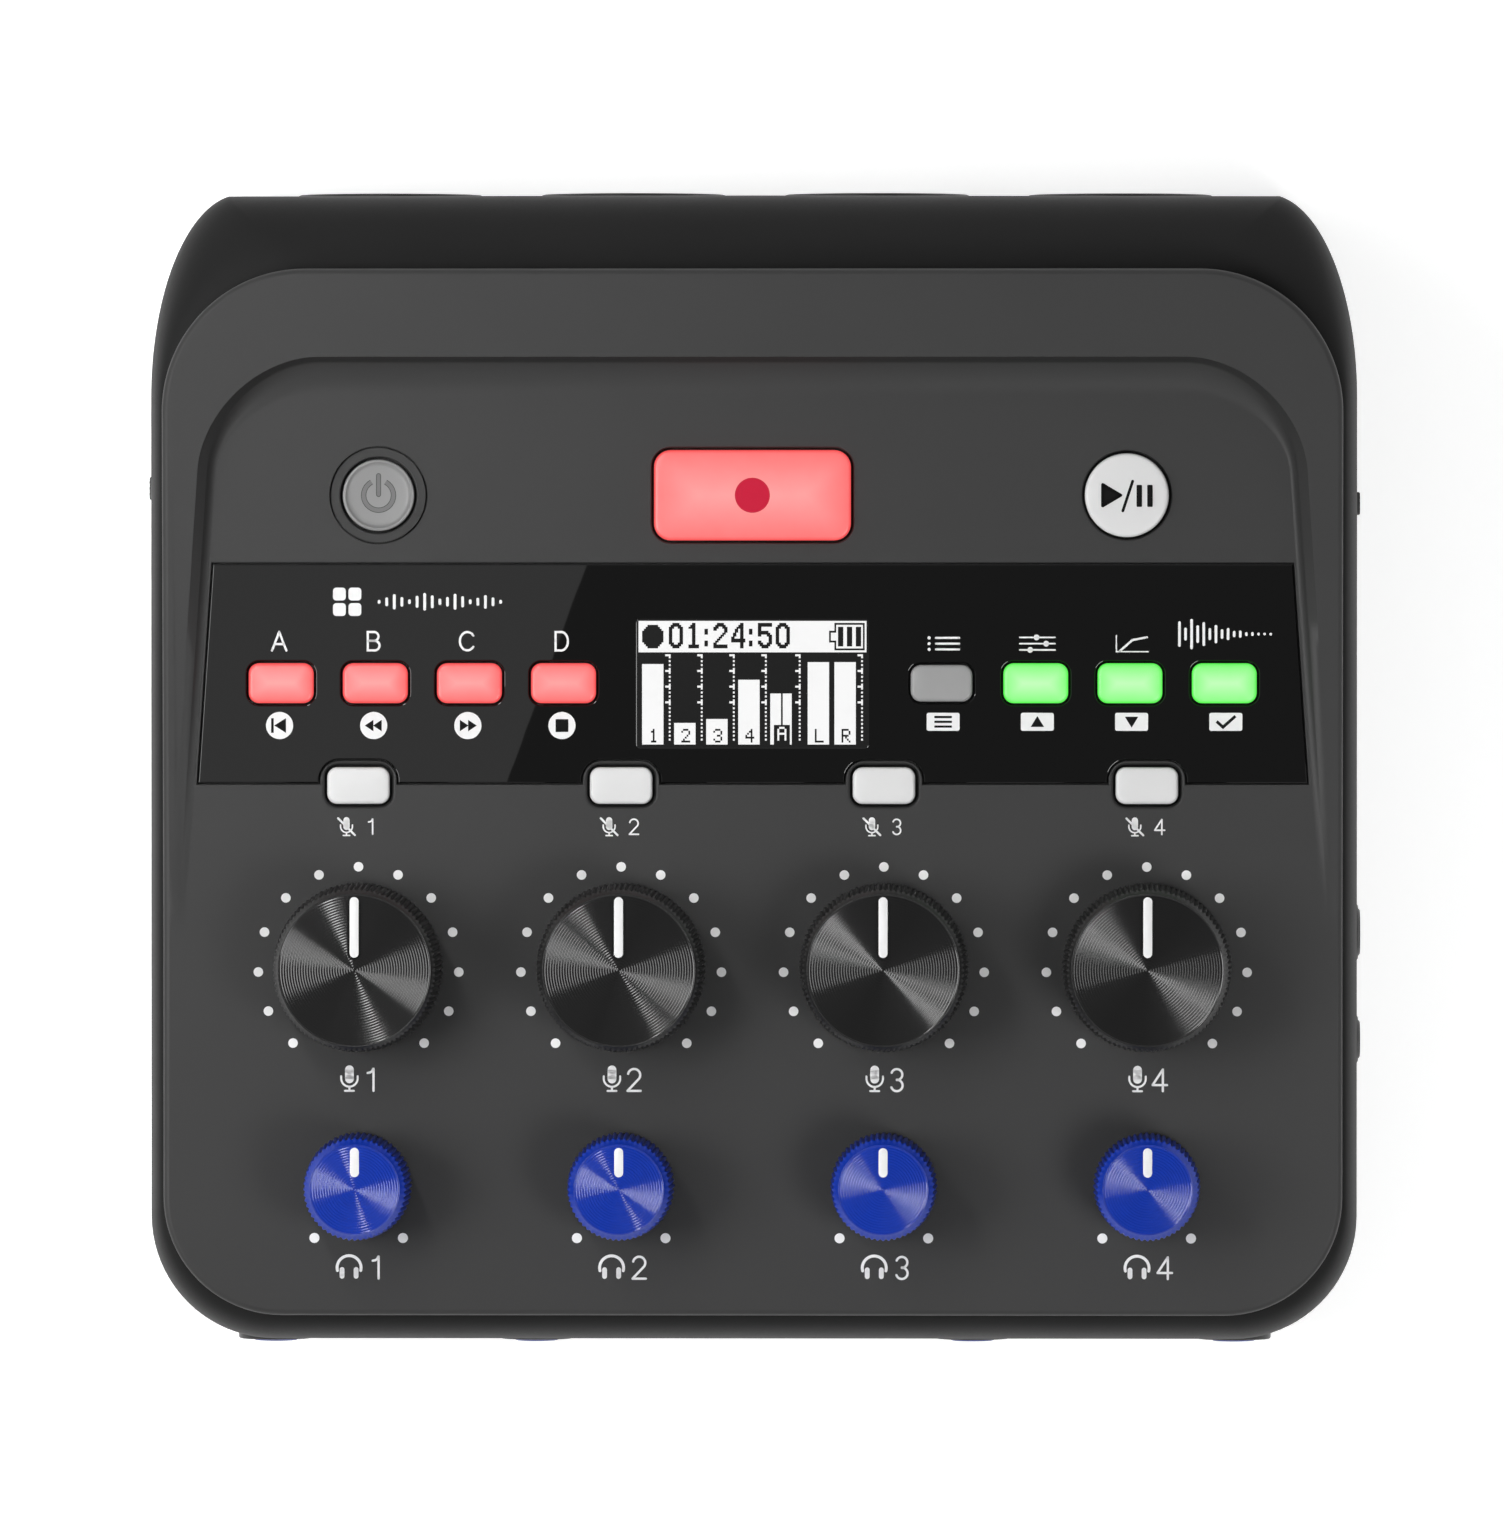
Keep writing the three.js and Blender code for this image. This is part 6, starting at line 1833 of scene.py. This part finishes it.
class MIXER_OT_prints(Operator):
    """Prints dots and signs on the deck, the window and the keys"""

    bl_idname = "mixer.prints"
    bl_label = "Prints"

    # Places beside a key's middle, in millimetres: of the mute sign in front of its key, of a pad key's
    # letter and disc, of a menu key's plate, and of the row of pictures behind the menu keys
    MUTE_ROW = -5.15
    LETTER = (-0.25, 5.25)
    DISC = (-0.2, -5.3)
    PLATE = (0.2, -4.82)
    PICTURE_ROW = 4.95
    # Where the four squares and the sound wave lie in the deck's frame
    SQUARES = (-50.7, 20.9)
    WAVE_X = -39.1

    def execute(self, context):
        settings = context.scene.mixer
        prints = settings.prints
        facts = key_facts(settings)
        outlines = self.dots(prints) + self.dial_signs(prints)
        for channel, name in zip(CHANNELS, MUTE_KEYS):
            x, y = self.at(facts[name], 0, self.MUTE_ROW)
            outlines += shifted(self.microphone(), x - 1.5, y, 0.72)
            outlines += stroke([(x - 2.55, y + 1.05), (x - 0.45, y - 1.05)], 0.26)
            outlines += sign_outlines(str(channel), 2.1, x + 1.6, y)
        self.add("deck_print", printed(outlines, -prints.root, prints.ink), "chassis", "print_white")
        light, dark = self.window_signs(prints, facts)
        self.add("window_print", printed(light, -prints.root, prints.ink), "chassis", "print_white")
        dark = printed(dark, -prints.root, prints.ink + 0.02 * MM)
        self.add("window_print_dark", dark, "chassis", "print_dark")

        record = facts["record_key"]
        spot = circle(2.19 * MM, record["x"], record["y"], 64)
        spot = prism(spot, record["top"] - 0.4 * MM, record["top"] + prints.ink)
        self.add("record_dot", spot, "record_key", "print_red")
        play = facts["play_key"]
        signs = self.solid_sign([(-3.02, -1.32), (-0.78, 0), (-3.02, 1.32)], 0.2)
        signs += stroke([(-0.5, -1.95), (0.72, 1.75)], 0.36)
        signs += [rounded_rectangle(0.68, 2.75, 0.12, x, -0.08, 3) for x in (1.55, 2.88)]
        shape = printed(shifted(signs, *self.at(play)), play["top"] - 0.4 * MM, play["top"] + prints.ink)
        self.add("play_sign", shape, "play_key", "print_dark")

        power = facts["power_key"]
        floor = power["top"] - 0.45 * MM
        # The first is the darker line round the sign, painted shade of the engraving's walls; the second is the sign's
        # floor
        for name, grow, level, look in (
            ("power_sign_shade_line", 0.16, 0.015 * MM, "Polycarbonate, grey, engraved edge with painted shade"),
            ("power_sign", 0.0, 0.03 * MM, "Polycarbonate, grey, engraved floor"),
        ):
            outlines = [band(arc(1.87, 118, 422), 0.5 + grow), *stroke([(0, 0.1), (0, 2.45)], 0.46 + grow)]
            shape = printed(shifted(outlines, *self.at(power)), floor - 0.2 * MM, floor + level)
            self.add(name, shape, "power_key", "key_grey", [look])
        return {"FINISHED"}

    def add(self, name, shape, body, slot, finishes=()):
        """Makes a print's piece of a shape in the deck's frame."""
        piece(name, shape.placed(), body, slot, finishes=finishes)

    def at(self, key, x=0.0, y=0.0):
        """A place beside a key's middle, in millimetres."""
        return key["x"] / MM + x, key["y"] / MM + y

    def dots(self, prints):
        """Dots on a circle round each large knob, and two beside each small one."""
        rows = (
            ("mic", prints.dot, prints.dot_circle, np.arange(-6, 7) * prints.dot_turn),
            ("phones", prints.small_dot, prints.small_dot_circle, (-prints.dial_end, prints.dial_end)),
        )
        outlines = []
        for channel in CHANNELS:
            for kind, radius, reach, turns in rows:
                x, y, _ = dial_place(f"{kind}_dial_{channel}")
                outlines += [circle(radius, x + reach * math.sin(a), y + reach * math.cos(a), 24) for a in turns]
        return [outline / MM for outline in outlines]

    def dial_signs(self, prints):
        """A microphone or headphone sign and the channel's number in front of each knob."""
        rows = (
            ("mic", self.microphone(), (1.15, 13.95), (1.62, 14.1)),
            ("phones", self.headphones(), (1.2, 10.2), (2.25, 10.3)),
        )
        outlines = []
        for channel in CHANNELS:
            for kind, sign, (left, front), (right, low) in rows:
                x, y = dial_place(f"{kind}_dial_{channel}")[:2] / MM
                outlines += shifted(sign, x - left, y - front)
                outlines += sign_outlines(str(channel), prints.digit, x + right, y - low)
        return outlines

    def microphone(self):
        """A microphone in its yoke, on a stem and a foot, in millimetres about its middle."""
        yoke = np.concatenate([[(-1.03, 0.3)], arc(1.03, 180, 360, 0, 0.02), [(1.03, 0.3)]])
        return [
            *stroke([(0, -0.04), (0, 1.11)], 1.1),
            *stroke(yoke, 0.25),
            band([(0, -0.95), (0, -1.5)], 0.27),
            *stroke([(-0.55, -1.53), (0.55, -1.53)], 0.26),
        ]

    def headphones(self):
        """A headband over two ear pads, in millimetres about its middle."""
        return [
            *stroke(arc(1.5, -14, 194, 0, -0.12, 32), 0.36),
            *stroke([(-0.88, -1.2), (-0.88, -0.35)], 0.6),
            *stroke([(0.88, -1.2), (0.88, -0.35)], 0.6),
        ]

    def solid_sign(self, corners, radius):
        """A filled polygon whose corners are rounded by a line of twice the radius along its edges."""
        corners = np.array(corners, dtype=float)
        edges = zip(corners, np.roll(corners, -1, axis=0))
        return [corners, *(outline for edge in edges for outline in stroke(edge, 2 * radius))]

    def window_signs(self, prints, facts):
        """Letters, transport signs and menu signs beside the keys on the window: white outlines, and
        the dark ones that lie on them."""
        light, dark = [], []
        for name, letter in zip(PAD_KEYS, "ABCD"):
            light += sign_outlines(letter, prints.letter, *self.at(facts[name], *self.LETTER), 0.11)
            light.append(circle(1.7, *self.at(facts[name], *self.DISC), 48))
        left = np.array([(-1.08, 0), (0, -0.72), (0, 0.72)])
        signs = [
            [np.array([(-0.68, 0), (0.8, -0.92), (0.8, 0.92)]), rounded_rectangle(0.32, 1.84, 0.02, -0.9, 0, 2)],
            [left - [0.04, 0], left + [1.0, 0]],
            [-left + [0.04, 0], -left - [1.0, 0]],
            [rounded_rectangle(1.6, 1.6, 0.05, steps=2)],
        ]
        for name, outlines in zip(PAD_KEYS, signs):
            dark += shifted(outlines, *self.at(facts[name], *self.DISC))
        up = np.array([(-0.84, -0.64), (0.84, -0.64), (0, 0.72)])
        menu = [
            [rounded_rectangle(2.2, 0.28, 0.05, 0, row, 2) for row in (-0.6, 0, 0.6)],
            [up],
            [-up],
            [band([(-1.15, 0.05), (-0.35, -0.66), (1.2, 0.72)], 0.38)],
        ]
        for name, outlines in zip(MENU_KEYS, menu):
            x, y = self.at(facts[name], *self.PLATE)
            light.append(rounded_rectangle(4.12, 2.25, 0.25, x, y, 4))
            dark += shifted(outlines, x, y)
        return light + self.pictograms(facts), dark

    def pictograms(self, facts):
        """Plain pictures in place of words: four squares with a sound wave, a list, three sliders, a
        bent line and a wave that dies away."""
        x, y = self.SQUARES
        steps = (-1, 1)
        squares = [rounded_rectangle(1.6, 1.6, 0.4, x + 0.97 * i, y + 0.97 * j, 4) for i in steps for j in steps]
        wave = [0.5, 1.1, 1.9, 1.2, 0.6, 1.5, 2.2, 1.6, 0.8, 1.2, 2.0, 1.4, 0.6, 1.0, 1.7, 1.1, 0.5]
        squares += bars(wave, 0.36, 0.95, self.WAVE_X, y, middle=True)
        row = self.at(facts["menu_key"], 0, self.PICTURE_ROW)[1]
        places = [self.at(facts[name], self.PLATE[0])[0] for name in MENU_KEYS]
        x = places[0]
        levels = [row + step for step in (-0.72, 0, 0.72)]
        listed = [outline for y in levels for outline in stroke([(x - 0.9, y), (x + 2.0, y)], 0.26)]
        listed += [circle(0.2, x - 1.75, y, 16) for y in levels]
        x = places[1]
        sliders = []
        for level, knob in ((-0.78, -0.9), (0, 1.1), (0.78, -0.1)):
            sliders += stroke([(x - 2.2, row + level), (x + 2.2, row + level)], 0.2)
            sliders.append(circle(0.36, x + knob, row + level, 20))
        x = places[2]
        knee = stroke([(x - 1.5, row - 0.95), (x + 0.1, row + 0.45), (x + 1.9, row + 0.8)], 0.28)
        knee += stroke([(x - 1.9, row + 1.0), (x - 1.9, row - 1.0), (x + 2.1, row - 1.0)], 0.16)
        fading = [3.2, 1.6, 3.8, 2.2, 3.0, 1.5, 2.3, 1.2, 1.5, 0.8, 0.9, 0.5, 0.5, 0.35, 0.35, 0.35]
        quiet = bars(fading, 0.34, 0.76, places[3] - 0.1, row + 1.2, middle=True)
        return squares + listed + sliders + knee + quiet


class MIXER_OT_underside(Operator):
    """Builds the battery door, the cells with their springs, the feet and the screws"""

    bl_idname = "mixer.underside"
    bl_label = "Underside"

    def execute(self, context):
        settings = context.scene.mixer
        self.door(settings)
        self.cells()
        for row in ("front", "rear"):
            for side in ("left", "right"):
                self.foot(settings, f"{row}_{side}")
        self.screws(settings)
        return {"FINISHED"}

    def door(self, settings):
        """A plate with rolled outer edges, and a finger recess with ridges across it."""
        under = settings.underside
        low, high = node_box("battery_door")
        middle, size, face = (low + high) / 2, high - low, low[2]
        steps = ((0.3 * MM, face), (0.09 * MM, face + 0.09 * MM), (0, face + 0.3 * MM), (0, face + size[2]))
        plate = rounded_block(size[0], size[1], 1.2 * MM, steps, middle[0], middle[1])
        row = low[1] + under.grip_depth
        grip = rounded_rectangle(under.grip_width, under.grip_depth, under.grip_depth / 2.01, 0, row, 12)
        body = cut(plate, prism(grip, face - OVERRUN, face + 0.7 * MM))
        piece("bay_door", body, "battery_door", "case_black", ["battery_door"])
        ridges = []
        for step in (-1.2, 0, 1.2):
            outline = rounded_rectangle(6 * MM, 0.5 * MM, 0.2 * MM, 0, row + step * MM)
            ridges.append(prism(outline, face + 0.35 * MM, face + 0.8 * MM))
        piece("bay_door_ridges", joined(ridges), "battery_door", "case_black")

    def cell(self, radius, half):
        """A cell about its middle: a sleeve with rolled ends, and steel ends of which one has a nub."""
        end = half - NUB
        sleeve = [
            *run(radius, -half, (-1.6, 0), (-0.5, 0), (-0.1, 0.15), (0, 0.6)),
            *run(radius, end, (0, -0.7), (-0.2, -0.2), (-0.8, 0), (-1.6, -0.1)),
        ]
        ends = [
            *run(radius, -half, (-1.7, 0.05)),
            *run(radius, end, (-1.7, -0.05)),
            *run(0, end, (2.75, 0)),
            *run(0, half, (2.75, -0.3), (2.45, 0), (0.2, 0)),
        ]
        return turned(sleeve, 64) + turned(ends, 48, 1)

    def cells(self):
        """The cells, with a plate at each end of both, a spring on one and a bump on the other. The
        spring's radius shrinks evenly over its turns."""
        springs, plates = [], []
        for number, side in ((1, 1), (2, -1)):
            low, high = node_box(f"battery_{number}")
            middle = (low + high) / 2
            half = (high[0] - low[0]) / 2
            mesh = mesh_of(self.cell((high[1] - low[1]) / 2, half))
            mesh.transform(Matrix.Translation(Vector(middle)) @ Matrix.Rotation(side * RIGHT_ANGLE, 4, "Y"))
            looks = [FINISH_OF_SLOT["cell_grey"], FINISH_OF_SLOT["steel"]]
            piece(f"cell_{number}", mesh, "chassis", "cell_grey", [f"battery_{number}"], looks)
            back = middle[0] - side * (half + END_ROOM)
            front = middle[0] + side * (half + END_ROOM)
            for end in (back, front):
                place, reach = np.array([end, middle[1], middle[2]]), np.array(PLATE_HALF) * MM
                plates.append(box(place - reach, place + reach))
            turns = np.linspace(0, 1, 90)
            reach = (3.4 - 1.4 * turns) * MM
            angle = turns * SPRING_TURNS * 2 * math.pi
            x, y, z = back + side * turns * 1.95 * MM, reach * np.cos(angle), reach * np.sin(angle)
            springs.append(tube(np.column_stack([x, middle[1] + y, middle[2] + z]), SPRING_WIRE, (1, 0, 0)))
            bump = turned([(1.6 * MM, 0), (1.2 * MM, 1.0 * MM), (0.6 * MM, 1.9 * MM), (0.1 * MM, 2.0 * MM)], 24)
            x, y, z = bump.points.T
            bump.points = np.column_stack([front - side * z, middle[1] + side * y, middle[2] + x])
            plates.append(bump)
        piece("bay_springs", joined(springs), "chassis", "steel")
        piece("bay_contacts", joined(plates), "chassis", "steel")

    def foot(self, settings, name):
        """A rubber disc with a rolled lower edge and a shallow dish in its face."""
        under = settings.underside
        low, high = node_box(f"foot_{name}")
        middle = (low + high) / 2
        radius, edge = under.foot_radius, under.foot_round
        profile = [
            (0.2 * MM, 0.25 * MM),
            (3.2 * MM, 0.25 * MM),
            (3.6 * MM, 0.02 * MM),
            (3.9 * MM, 0),
            (radius - edge, 0),
            (radius - edge * 0.3, edge * 0.3),
            (radius, edge),
            (radius, high[2]),
        ]
        shape = turned(profile, 72).moved([middle[0], middle[1], 0])
        piece(f"rubber_foot_{name}", shape, "chassis", "rubber", [f"foot_{name}"])

    def screws(self, settings):
        """Pan-head screws in their wells, with a cross in each head."""
        case, under = settings.case, settings.underside
        radius = under.screw_radius
        face = case.bottom + 0.3 * MM
        head = turned(
            [
                (0.1 * MM, face),
                (radius * 0.6, face + 0.03 * MM),
                (radius * 0.9, face + 0.2 * MM),
                (radius, face + 0.5 * MM),
                (radius, case.bottom + under.well_depth + 0.3 * MM),
            ],
            48,
        )
        cuts = []
        for sides in ((0.5 * MM, 2.3 * MM), (2.3 * MM, 0.5 * MM)):
            outline = rounded_rectangle(*sides, 0.1 * MM)
            cuts.append(prism(outline, face - OVERRUN, face + 0.5 * MM))
        mesh = cut(head, *cuts)
        one = Shape(mesh_points(mesh), [], [polygon.vertices for polygon in mesh.polygons])
        heads = [one.moved([x, y, 0]) for x, y in screw_places(settings)]
        piece("screw_heads", joined(heads), "chassis", "steel")


class MIXER_OT_node_finishes(Operator):
    """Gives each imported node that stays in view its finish"""

    bl_idname = "mixer.node_finishes"
    bl_label = "Node finishes"

    def execute(self, context):
        for part in frame["record"]["subparts"]:
            mesh = frame["nodes"][part["node"]].data
            mesh.materials.clear()
            mesh.materials.append(finish(FINISH_OF_SLOT[part["material_slot"]]))
        return {"FINISHED"}


class MIXER_PT_panel(Panel):
    """Lists the steps that build the mixer"""

    bl_idname = "MIXER_PT_panel"
    bl_label = "Podcast Mixer"
    bl_space_type = "VIEW_3D"
    bl_region_type = "UI"
    bl_category = "Mixer"

    def draw(self, context):
        for operator in OPERATORS:
            self.layout.operator(operator.bl_idname)


OPERATORS = [
    MIXER_OT_finishes,
    MIXER_OT_stage,
    MIXER_OT_cover,
    MIXER_OT_case,
    MIXER_OT_window,
    MIXER_OT_knobs,
    MIXER_OT_keys,
    MIXER_OT_sockets,
    MIXER_OT_ports,
    MIXER_OT_screen,
    MIXER_OT_prints,
    MIXER_OT_underside,
    MIXER_OT_node_finishes,
]
GROUPS = [
    MixerCaseSizes,
    MixerCoverSizes,
    MixerKnobSizes,
    MixerKeySizes,
    MixerWindowSizes,
    MixerSocketSizes,
    MixerPortSizes,
    MixerUndersideSizes,
    MixerPrintSizes,
    MixerColours,
    MixerStageSizes,
    MixerSettings,
]


def register():
    for item in GROUPS + OPERATORS + [MIXER_PT_panel]:
        bpy.utils.register_class(item)
    bpy.types.Scene.mixer = PointerProperty(type=MixerSettings)


def unregister():
    del bpy.types.Scene.mixer
    for item in reversed(GROUPS + OPERATORS + [MIXER_PT_panel]):
        bpy.utils.unregister_class(item)


def main():
    """Builds every piece in order."""
    register()
    for operator in OPERATORS:
        group, name = operator.bl_idname.split(".")
        getattr(getattr(bpy.ops, group), name)()


if __name__ == "__main__":
    main()
